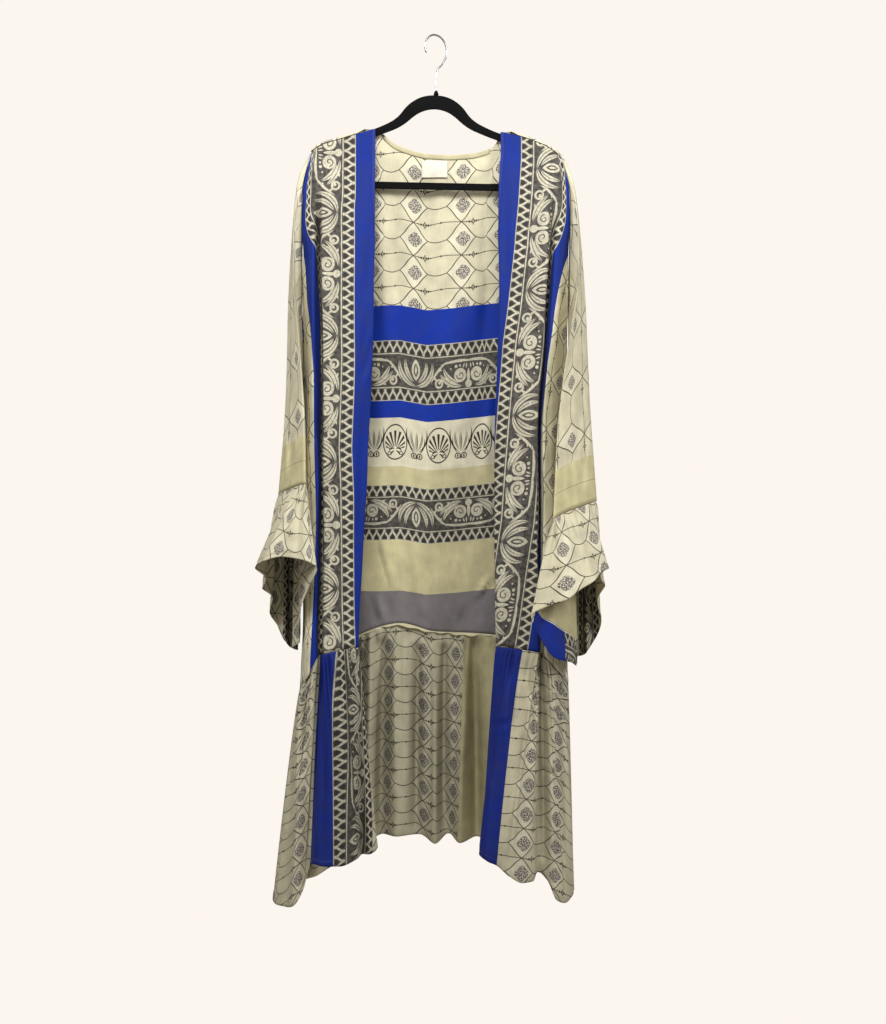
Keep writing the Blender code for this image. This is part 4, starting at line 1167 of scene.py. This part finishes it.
def sleeve_print(name):
    """Cloth of the sleeves: lattice along the arm, and a plain band before the cuff. y is the distance
    down from the cuff, so it is below 0 on the sleeve."""
    board = cloth_board(name, CREAM)
    colour = lattice(board, board.y + 20.0, board.x + 10.0, SLEEVE_PITCH, SLEEVE_ROW)
    seam = board.between(board.y, *SLEEVE_SEAM, 0.4)
    colour = board.mix(colour, board.mix(KHAKI, INK, seam * 0.55), board.between(board.y, *SLEEVE_BAND))
    return woven(board, colour)


def flounce_print(name, border_from, khaki=None, blue=None):
    """Cloth of the flounces: lattice, with a strip of the border and plain pieces where the cut gives
    them, each by its start and end round the hem. A slanted seam ends the plain piece, and below it the
    cloth is blue and then border."""
    board = cloth_board(name, CREAM)
    colour = lattice(board, board.x + 14.0, board.y)
    if khaki:
        colour = board.mix(colour, KHAKI, board.between(board.x, *khaki))
    if blue:
        below = board.y - BLUE_FROM - (board.x - blue[0]) * BLUE_SLOPE
        lower = border(board, board.x, below - BORDER_EDGE, abs(below - BORDER_HALF))
        # the flounce's blue piece takes the blue with painted shade
        lower = board.mix(LOW_PAINTED_SHADE_BLUE, lower, board.inside(blue[1] - board.x, 0.4))
        lower = board.mix(lower, PALE, board.between(below, *PIPING, 0.4))
        span = board.highest(blue[0] - board.x, board.x - khaki[1])
        colour = board.mix(colour, lower, board.inside(board.highest(span, -below)))
    colour = with_border(board, colour, board.y, board.x - border_from - BORDER_EDGE,
                         abs(board.x - border_from - BORDER_HALF))
    return woven(board, colour, painted_shade=FLOUNCE_PAINTED_SHADE)


def skirt_back_print(name):
    """Cloth of the back skirt: the lattice, with one plain stretch."""
    board = cloth_board(name, CREAM)
    colour = lattice(board, board.x + 8.0, board.y + 12.0, LATTICE_PITCH, SKIRT_ROW)
    colour = board.mix(colour, KHAKI, board.between(board.x, *PLAIN_PANEL))
    return woven(board, colour, painted_shade=SKIRT_PAINTED_SHADE)


SKIRT_PRINT_TOP = 965    # height down at which the print of the skirt's fronts starts
# How far out the print lies at the turn that shows as each front's edge, by height
LEFT_TURN = [(-1050, -6), (-966, -8), (-727, -24.7), (-662, -30), (-585, -30), (-486, -32), (-341, -32),
             (-258, -25.5), (-150, -26)]
RIGHT_TURN = [(-1050, 46), (-974, 42), (-850, 20), (-779, 7), (-662, -2), (-636, -3.5), (-496, -10),
              (-421, -17), (-341, -26), (-258, -27), (-150, -27)]
# Print hidden in the fold by the armhole, by height
TUCKED = [(-1050, 0), (-341, 0), (-258, 20), (-150, 20)]
# How much lower than level the back's bands hang, by x
BAND_DIP = [(-230, -3), (-99, 0), (-58, -1.5), (-15, 6), (30, 2.5), (100, -5), (230, -8)]
BACK_FULLNESS = 1.3    # how much cloth is gathered into each length of the back's hem
# Print across the skirt's fronts: share of the seam or hem, then distance out from the first white line
SKIRT_LEFT_SEAM = [(0, -6), (0.03, 0), (0.07, 21), (0.20, 74), (0.25, 97), (0.56, 129), (1, 190)]
SKIRT_LEFT_HEM = [(0, -20), (0.10, 0), (0.155, 21), (0.29, 74), (0.366, 97), (0.55, 129), (1, 270)]
SKIRT_RIGHT_SEAM = [(0, 97.6), (0.24, 129), (0.52, 180), (1, 260)]
SKIRT_RIGHT_HEM = [(0, 97.6), (0.30, 129), (0.57, 215), (1, 330)]


def by_table(table, at):
    """Values at the given places of a table of places and values."""
    return np.interp(at, [row[0] for row in table], [row[1] for row in table])


def front_place(grid, turn_table):
    """Place on the flat cloth of each point of a front."""
    across = across_lengths(grid)
    turn = FRONT_PARTS[0] * FRONT_FINER
    heights = grid[:, :, 2]
    out = across - across[:, turn:turn + 1] + by_table(turn_table, heights)
    start = sum(FRONT_PARTS[:5]) * FRONT_FINER
    end = sum(FRONT_PARTS[:6]) * FRONT_FINER
    column = np.arange(grid.shape[1])
    out = out + by_table(TUCKED, heights) * eased(start, end, column)
    return np.stack([out, -heights], axis=2)


def back_place(grid):
    """The same for the back, with the height down measured at the middle."""
    across = across_lengths(grid)
    down = down_lengths(grid)
    middle = grid.shape[1] // 2
    out = across - across[:, middle:middle + 1]
    settled = down - down[RIDGE_LINES] - grid[RIDGE_LINES, :, 2]
    falls = np.where(np.arange(grid.shape[0])[:, None] < RIDGE_LINES, settled, -grid[:, :, 2])
    return np.stack([out, falls - by_table(BAND_DIP, grid[:, :, 0])], axis=2)


def skirt_place(grid, seam_table, hem_table):
    """The same for a front of the skirt, whose print spreads with its gathers."""
    share = shares_across(grid)
    fall = shares_down(grid)
    out = by_table(seam_table, share) * (1 - fall) + by_table(hem_table, share) * fall
    return np.stack([out, SKIRT_PRINT_TOP + down_lengths(grid)], axis=2)


def even_place(grid, width):
    """The same for a piece whose width on the flat cloth is the same all the way down."""
    down = down_lengths(grid)
    return np.stack([shares_across(grid) * width + 0 * down, down], axis=2)


def flat_place(grid):
    """The same by the lengths along the piece itself."""
    return np.stack([across_lengths(grid), down_lengths(grid)], axis=2)


def sleeve_place(sleeve):
    """The same round a sleeve, with the height down measured from the cuff."""
    place = flat_place(closed_ring(sleeve))
    place[:, :, 1] -= place[-1, :, 1]
    return place


def dress(piece, node, material):
    """Gives a piece its material and its body, and hides the solid that it stands for."""
    piece.data.materials.append(material)
    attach(piece, "root")
    if node:
        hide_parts(node)
    return piece


def trim(name, node, grid, material):
    """A thin piece that follows the cloth: a strip, a seam or the label."""
    return dress(cloth_mesh(name, grid, flat_place(grid), thickness=TRIM_THIN), node, material)


def strip_piece(name, node, rows, material, lift):
    """A narrow strip that lies on the cloth: rows of points, moved out of it."""
    grid = np.array(rows)
    return trim(name, node, moved_out(grid, np.full(grid.shape[:2], lift)), material)


def stitches(name, path, normals, stitch, material):
    """A line of small stitches along a path, as one mesh."""
    pitch, length, breadth, rise = stitch
    lengths = line_lengths(path)
    places = np.arange(pitch / 2, lengths[-1], pitch)
    spots = between_points(places, lengths, path)
    out = unit(between_points(places, lengths, normals))
    way = unit(between_points(places + 0.5, lengths, path) - between_points(places - 0.5, lengths, path))
    side = np.cross(way, out)
    ahead, aside, above = way * length / 2, side * breadth / 2, out * rise
    points = np.stack([spots + reach for reach in (-ahead, ahead, aside, -aside, above, -above)], axis=1)
    faces = (np.arange(len(places))[:, None, None] * 6 + np.array(STITCH_FACES)[None]).reshape(-1, 3)
    return dress(placed(name, smooth_mesh(name, points, faces)), None, material)


def at_depth(grid, depth):
    """Line of points at a distance from a grid's first column, and the cloth's normals there."""
    return np.array([along_line(row, (depth,))[0] for row in grid]), normals_of(grid)[:, 1]


def above_hem(grid, depth):
    """Line of points at a distance above a grid's last line, and the cloth's normals there."""
    line = [along_line(grid[::-1, column], (depth,))[0] for column in range(grid.shape[1])]
    return np.array(line), normals_of(grid)[-3]


def hem_stitches(name, grid, outward, material):
    """The stitches along a turned hem, on the side of the cloth that outward gives."""
    line, normals = above_hem(grid, HEM_TURN - HEM_STITCH_DOWN)
    return stitches(name, line + normals * outward * (THIN / 2 + HEM_STITCH_OUT), normals * outward,
                    HEM_STITCH, material)


def flat_size(grid):
    """Width, length and area of the cloth that a piece is cut from, in metres."""
    a, b = grid[:-1, :-1], grid[1:, :-1]
    c, d = grid[1:, 1:], grid[:-1, 1:]
    area = float(np.linalg.norm(np.cross(c - a, d - b), axis=2).sum()) / 2 * MM * MM
    width = float(across_lengths(grid)[:, -1].max()) * MM
    length = float(down_lengths(grid)[-1].max()) * MM
    return width, length, area


def declare(grid, rests_on, with_pieces):
    """Works out the width, length and area of a cloth piece's flat cut, from the cloth's own widths and
    lengths, and does nothing more with them.
    """
    width, length, area = flat_size(grid)


def rounded(outline, rounds=2):
    """A closed outline with its corners cut round."""
    for _ in range(rounds):
        after = np.roll(outline, -1, axis=0)
        outline = np.stack([outline * 0.75 + after * 0.25, outline * 0.25 + after * 0.75],
                           axis=1).reshape(-1, 2)
    return outline


def poly_spline(curve, points):
    """A line with straight stretches through the points, in a curve."""
    spline = curve.splines.new("POLY")
    spline.points.add(len(points) - 1)
    for point, place in zip(spline.points, points):
        point.co = (*place, 1)
    return spline


def hanger_curve(material):
    """The flat, flocked hanger with its eased edges."""
    curve = bpy.data.curves.new("flocked_hanger", "CURVE")
    curve.dimensions = "2D"
    curve.fill_mode = "BOTH"
    curve.extrude = (HANGER_THICK / 2 - HANGER_EASE - 0.1) * MM
    curve.bevel_depth = HANGER_EASE * MM
    curve.bevel_resolution = 3
    curve.offset = -HANGER_EASE * MM
    for half in hanger_outline():
        whole = np.array(half + [(-x, z) for x, z in reversed(half[1:-1])], float)
        spline = poly_spline(curve, [(x * MM, z * MM, 0) for x, z in rounded(whole)])
        spline.use_cyclic_u = True
    body = placed("flocked_hanger", curve)
    graph = bpy.context.evaluated_depsgraph_get()
    mesh = bpy.data.meshes.new_from_object(body.evaluated_get(graph))
    mesh.transform(Euler((math.pi / 2, HANGER_TILT, 0)).to_matrix().to_4x4())
    bpy.data.objects.remove(body)
    shape = bmesh.new()
    shape.from_mesh(mesh)
    bmesh.ops.remove_doubles(shape, verts=shape.verts, dist=0.00002)
    bmesh.ops.recalc_face_normals(shape, faces=shape.faces)
    shape.to_mesh(mesh)
    shape.free()
    mesh.shade_smooth()
    return dress(placed("flocked_hanger", mesh), "hanger_body", material)


def wire_hook(material):
    """The bright wire hook, rounder than its solid."""
    route = np.array(hook_route())
    fine = smooth(np.linspace(0, 1, len(route)), route, np.linspace(0, 1, len(route) * 5))
    curve = bpy.data.curves.new("wire_hook", "CURVE")
    curve.dimensions = "3D"
    curve.bevel_depth = WIRE_RADIUS * MM
    curve.bevel_resolution = 5
    curve.use_fill_caps = True
    ahead, aside = math.cos(HOOK_YAW), math.sin(HOOK_YAW)
    spline = poly_spline(curve, [(along * ahead * MM, along * aside * MM, height * MM)
                                 for along, height in fine])
    spline.points[-1].radius = HOOK_TIP
    return dress(placed("wire_hook", curve), "hook", material)


def turned_collar(material):
    """The collar round the foot of the hook, turned from a profile."""
    foot = CROWN_TOP + SEAM_GAP
    top = foot + COLLAR_HEIGHT
    profile = [(3.6, foot), (4.1, foot + 0.5), (4.1, foot + 1.8), (3.5, foot + 2.3), (3.6, foot + 2.8),
               (2.9, foot + 4.6), (2.3, top - 0.6), (1.8, top)]
    shape = bmesh.new()
    rings = [[shape.verts.new((radius * math.cos(2 * math.pi * k / COLLAR_SIDES) * MM,
                               radius * math.sin(2 * math.pi * k / COLLAR_SIDES) * MM, height * MM))
              for k in range(COLLAR_SIDES)] for radius, height in profile]
    bottom_centre = shape.verts.new((0, 0, foot * MM))
    top_centre = shape.verts.new((0, 0, top * MM))
    for k in range(COLLAR_SIDES):
        after = (k + 1) % COLLAR_SIDES
        shape.faces.new((bottom_centre, rings[0][after], rings[0][k]))
        for low, high in zip(rings, rings[1:]):
            shape.faces.new((low[k], low[after], high[after], high[k]))
        shape.faces.new((rings[-1][k], rings[-1][after], top_centre))
    mesh = bpy.data.meshes.new("turned_collar")
    shape.to_mesh(mesh)
    shape.free()
    mesh.shade_smooth()
    return dress(placed("turned_collar", mesh), "hook_collar", material)


def flock():
    """The hanger's black flocking: short fibres with duller patches."""
    board = Board("black_flock_finish", BLACK_FLOCK)
    spot = board.output("TexCoord", socket="Object")
    fibres = board.noise(spot, 2600.0, 2.0, "3D")
    patches = board.noise(spot, 60.0, 3.0, "3D")
    colour = board.mix(shade(3, 3, 4), shade(12, 12, 13), fibres * 0.7 + patches * 0.3)
    return board.finish(Base_Color=colour, Normal=board.bump(fibres, 0.5, 0.0003), Roughness=0.9,
                        Sheen_Weight=0.03, Specular_IOR_Level=0.12)


def bright_wire():
    """The hook's plated wire, with light scuffs."""
    board = Board("bright_wire_finish", BRIGHT_WIRE)
    scuffs = board.noise(board.output("TexCoord", socket="Object"), 240.0, 4.0, "3D")
    return board.finish(Base_Color=board.mix(shade(190, 190, 194), BRIGHT_WIRE, scuffs), Metallic=1.0,
                        Roughness=scuffs * 0.14 + 0.1)


def plain_cloth(name, colour, roughness):
    """Cloth or thread of one colour."""
    return woven(cloth_board(name, colour), colour, roughness)


def creased_ring(grid, creases):
    """Creases on both sides of a sleeve, each side pressed inwards."""
    middle = grid[:, :, 1].mean(axis=1)[:, None]
    front = creased(grid, creases, 1)
    behind = creased(grid, creases, -1)
    share = np.clip(np.abs(grid[:, :, 1] - middle) / 12, 0, 1)[:, :, None]
    pressed = np.where((grid[:, :, 1] < middle)[:, :, None], front, behind)
    return grid * (1 - share) + pressed * share


def creased_skirt(grid, creases):
    """Creases on a panel of the skirt, with none at its side edges."""
    return grid + (creased(grid, creases, 1) - grid) * side_ease(grid)[:, :, None]


def side_line(grid, sign):
    """The side edge of a back panel that lies towards -X or +X."""
    return grid[:, 0] if grid[-1, 0, 0] * sign > 0 else grid[:, -1]


def side_seam(name, front_line, back_line, top, material):
    """The narrow overlocked seam that closes a side, between the edges of a front and a back panel."""
    lines = (front_line, back_line)
    heights = np.linspace(top, max(line[:, 2].min() for line in lines), SIDE_SEAM_STEPS)
    front, back = [between_points(-heights, -line[:, 2], line)[:, None] for line in lines]
    share = np.linspace(-SIDE_SEAM_LAP, 1 + SIDE_SEAM_LAP, 5)[None, :, None]
    return trim(name, None, front * (1 - share) + back * share, material)


def woven_label(back, material):
    """The small label inside the neck, left bare, sewn along its top."""
    lines, columns = 17, 25
    flat = back_height_points(back, np.linspace(*LABEL_X, columns), np.linspace(*LABEL_Z, lines))
    down = np.linspace(0, 1, lines)[:, None]
    across = np.linspace(-1, 1, columns)[None, :]
    curl = LABEL_CURL * down ** 2 * (0.6 + 0.4 * across ** 2) + 0.25 * np.sin(across * 4)
    flat[:, :, 1] -= LABEL_LIFT + curl
    return trim("neck_label_cloth", "neck_label", flat, material)


def waist_edge(edge, material):
    """The overlocked edge of the waist seam, which hangs wavy inside the back's last line."""
    places = np.arange(len(edge))
    wave = np.sin(places * 1.25 + np.sin(places * 0.21)) * 1.3 + np.sin(places * 0.37 + 1) * 1.5
    rows = []
    for fall in np.linspace(0, 1, 5):
        row = edge + np.array([0, -1.3 - 2.4 * fall, -3.4 * fall + 1.4])
        row[:, 1] -= wave * fall * 0.8
        row[:, 2] -= wave * fall * 0.9
        rows.append(row)
    return trim("waist_overlock", None, np.array(rows)[:, 6:-6], material)


def dress_fronts(trims):
    """The two fronts with their edge strips. Gives the grid of each without creases, and its side edge."""
    found = {}
    for side, sign, rows, creases, turn_table, bud_at, seed in (
            ("left", -1, FRONT_LEFT, CREASES_LEFT, LEFT_TURN, 484.8, 1.0),
            ("right", 1, FRONT_RIGHT, CREASES_RIGHT, RIGHT_TURN, 808.0, 2.6)):
        plain = front_piece(rows)
        grid = rippled(creased(plain, creases, 1), FRONT_RIPPLE, seed)
        grid[-2:] = plain[-2:]
        cloth = border_print("border_print_" + side, bud_at)
        piece = dress(cloth_mesh("robe_front_" + side, grid, front_place(plain, turn_table)),
                      "front_" + side, cloth)
        line, normals = at_depth(grid[:-2], EDGE_STITCH_IN)
        normals = normals * -sign
        edge = stitches("edge_stitching_" + side, line + normals * EDGE_STITCH_OUT, normals, EDGE_STITCH,
                        trims["blue_thread"])
        rows_on = [along_line(row, STRIP_ROWS) for row in grid[:-2]]
        strip = strip_piece("front_edge_" + side, "edge_strip_" + side, rows_on,
                            trims["blue_edge_cloth"], STRIP_LIFT * -sign)
        declare(grid, ["flocked_hanger"], [strip, edge])
        found[side] = (plain, grid[:, -1])
    return found


def dress_back(trims, fronts):
    """The back with its binding, label and seams. Gives its grid without creases."""
    plain = back_piece()
    grid = creased(plain, CREASES_BACK, -1)
    grid[RIDGE_LINES:] = rippled(grid, BACK_RIPPLE, 4.2)[RIDGE_LINES:]
    grid[-2:] = plain[-2:]
    piece = dress(cloth_mesh("robe_back", grid, back_place(plain)), "back_panel",
                  back_print("banded_print_back"))
    columns = [column for column in range(grid.shape[1]) if abs(grid[0, column, 0]) < BINDING_END]
    rows_on = [[along_line(grid[:, column], (depth,))[0] for column in columns] for depth in BINDING_ROWS]
    binding = strip_piece("neck_edge", "neck_binding", rows_on, trims["cream_edge_cloth"],
                          -BINDING_LIFT)
    line = np.array(rows_on[3]) - np.array([0, NECK_STITCH_OUT, 0])
    neck_line = stitches("neck_stitching", line, np.tile([0.0, -1.0, 0.0], (len(line), 1)), NECK_STITCH,
                         trims["cream_thread"])
    label = woven_label(grid, trims["bare_label_cloth"])
    seam = waist_edge(plain[-1], trims["cream_edge_cloth"])
    sides = [side_seam("side_seam_" + side, fronts[side][1], side_line(grid, sign), UNDER_ARM,
                       trims["side_seam_cloth"]) for side, sign in SIDES]
    declare(grid, ["flocked_hanger"], [binding, neck_line, label, seam] + sides)
    return plain


def dress_skirt(trims, fronts, back):
    """The three panels of the skirt with their hems and side seams."""
    cloth = border_print("border_print_skirt", 1060.0, True)
    edges = {}
    for side, sign, folds, seam_table, hem_table, seed in (
            ("left", -1, SKIRT_LEFT, SKIRT_LEFT_SEAM, SKIRT_LEFT_HEM, 1.3),
            ("right", 1, SKIRT_RIGHT, SKIRT_RIGHT_SEAM, SKIRT_RIGHT_HEM, 2.9)):
        plain = skirt_piece(fronts[side][0], folds, SKIRT_FRONT_COUNTS, seed)
        grid = creased_skirt(plain, CREASES_SKIRT)
        piece = dress(cloth_mesh("robe_skirt_" + side, grid, skirt_place(plain, seam_table, hem_table)),
                      "skirt_" + side, cloth)
        edges[side] = grid[:, -1]
        hem = hem_stitches("hem_stitching_" + side, grid, -sign, trims["hem_thread"])
        declare(grid, ["robe_front_" + side], [hem])
    plain = skirt_piece(back, SKIRT_BACK, SKIRT_BACK_COUNTS, 3.3)
    width = float(across_lengths(plain)[-1, -1]) * BACK_FULLNESS
    grid = creased_skirt(plain, CREASES_SKIRT_BACK)
    piece = dress(cloth_mesh("robe_skirt_back", grid, even_place(plain, width)), "skirt_back",
                  skirt_back_print("lattice_print_skirt"))
    pieces = [hem_stitches("hem_stitching_back", grid, 1, trims["hem_thread"])]
    for side, sign in SIDES:
        line = side_line(grid, sign)
        pieces.append(side_seam("skirt_seam_" + side, edges[side], line, min(edges[side][0, 2], line[0, 2]),
                                trims["side_seam_cloth"]))
    declare(grid, ["robe_back"], pieces)


def dress_sleeves(trims):
    """The two sleeves, each with its flounce."""
    cloth = sleeve_print("lattice_print_sleeve")
    # The right flounce's blue piece starts at 0.31 round the hem, which carries it over a stretch that is
    # only in shade: partly painted shade.
    for side, sign, rows, front_fold, folds, wider, border_share, khaki, blue in (
            ("left", -1, SLEEVE_LEFT, FRONT_FOLD_LEFT, FLOUNCE_LEFT, WIDER_HEM_LEFT, 0.66, (), ()),
            ("right", 1, SLEEVE_RIGHT, FRONT_FOLD_RIGHT, FLOUNCE_RIGHT, WIDER_HEM_RIGHT, 0.76, (0.31, 0.74),
             (0.31, 0.43))):
        plain = sleeve_piece(sign, soft_rings(rows, front_fold, sign))
        sleeve = creased_ring(plain, CREASES_SLEEVE)
        sleeve[-2:] = plain[-2:]
        piece = dress(cloth_mesh("robe_sleeve_" + side, sleeve, sleeve_place(plain), closed=True),
                      "sleeve_" + side, cloth)
        declare(closed_ring(sleeve), ["robe_front_" + side, "robe_back"], [])
        flounce = flounce_piece(plain, soft_hem(folds, wider), 1.7 + sign)
        whole = closed_ring(flounce)
        around = float(across_lengths(whole)[-1, -1])
        printed = flounce_print("flounce_print_" + side, around * border_share,
                                [around * share for share in khaki], [around * share for share in blue])
        piece = dress(cloth_mesh("robe_flounce_" + side, flounce, even_place(whole, around), closed=True),
                      "flounce_" + side, printed)
        hem = hem_stitches("flounce_stitching_" + side, whole, sign, trims["hem_thread"])
        declare(whole, ["robe_sleeve_" + side], [hem])


def dress_robe():
    """Every cloth piece of the robe, with its print, its trim and its stitching."""
    trims = {name: plain_cloth(name, shade(*colour), roughness) for name, colour, roughness in TRIMS}
    fronts = dress_fronts(trims)
    back = dress_back(trims, fronts)
    dress_skirt(trims, fronts, back)
    dress_sleeves(trims)


# Camera and studio, in metres
CAMERA_DISTANCE = 2.4
CAMERA_X = 0.011
CAMERA_Z = -0.7616
VIEW_HEIGHT = 1024 * 0.0016     # height of the view in the plane of the hanger
PAPER = shade(252, 246, 239)
AMBIENT = 0.25                  # strength of the backdrop's light on the robe
FLOOR = -2.6
FLOOR_CORNERS = [(-4, -4), (4, -4), (4, 0.75), (-4, 0.75)]
LIGHT_AIM = (0, 0, -0.75)
# Lights: name, place, width and height, and power in watts
LIGHTS = [
    ("soft_front", (-0.2, -1.5, 0.85), (0.7, 0.6), 35.0),
    ("soft_key", (-1.7, -0.9, 0.6), (0.6, 0.9), 17.0),
    ("soft_fill", (1.6, -1.3, 0.5), (0.7, 1.0), 33.0),
    ("soft_top", (0.2, -0.8, 1.4), (1.4, 0.8), 7.0),
]


def soft_studio():
    """Plain pale floor and backdrop colour, with large soft lights."""
    scene = bpy.context.scene
    world = bpy.data.worlds.new("pale_studio")
    scene.world = world
    world.use_nodes = True
    tree = world.node_tree
    ground = tree.nodes["Background"]
    ground.inputs[0].default_value = (*PAPER, 1.0)
    seen = tree.nodes.new("ShaderNodeLightPath")
    level = tree.nodes.new("ShaderNodeMapRange")
    level.inputs["To Min"].default_value = AMBIENT
    level.inputs["To Max"].default_value = 1.0
    tree.links.new(seen.outputs["Is Camera Ray"], level.inputs["Value"])
    tree.links.new(level.outputs[0], ground.inputs[1])
    for name, place, size, power in LIGHTS:
        light = bpy.data.lights.new(name, "AREA")
        light.shape = "RECTANGLE"
        light.size, light.size_y = size
        light.energy = power
        lamp = placed(name, light)
        lamp.location = place
        lamp.rotation_euler = (Vector(LIGHT_AIM) - Vector(place)).to_track_quat("-Z", "Y").to_euler()
    floor_mesh = bpy.data.meshes.new("studio_floor")
    floor_mesh.from_pydata([(x, y, FLOOR) for x, y in FLOOR_CORNERS], [], [(0, 1, 2, 3)])
    paper = Board("pale_floor", (0.8, 0.8, 0.8))
    floor_mesh.materials.append(paper.finish(Base_Color=PAPER, Roughness=0.9))
    placed("studio_floor", floor_mesh)


def place_camera():
    """A level camera in front of the robe, which frames it as the photograph does."""
    scene = bpy.context.scene
    lens = bpy.data.cameras.new("front_camera")
    lens.sensor_fit = "VERTICAL"
    lens.sensor_height = 36.0
    lens.lens = lens.sensor_height * CAMERA_DISTANCE / VIEW_HEIGHT
    lens.clip_end = 50.0
    camera = placed("front_camera", lens)
    camera.location = (CAMERA_X, -CAMERA_DISTANCE, CAMERA_Z)
    camera.rotation_euler = (math.pi / 2, 0, 0)
    scene.camera = camera
    scene.view_settings.view_transform = "Standard"


place_camera()
soft_studio()
hanger_curve(flock())
turned_collar(flock())
wire_hook(bright_wire())
dress_robe()
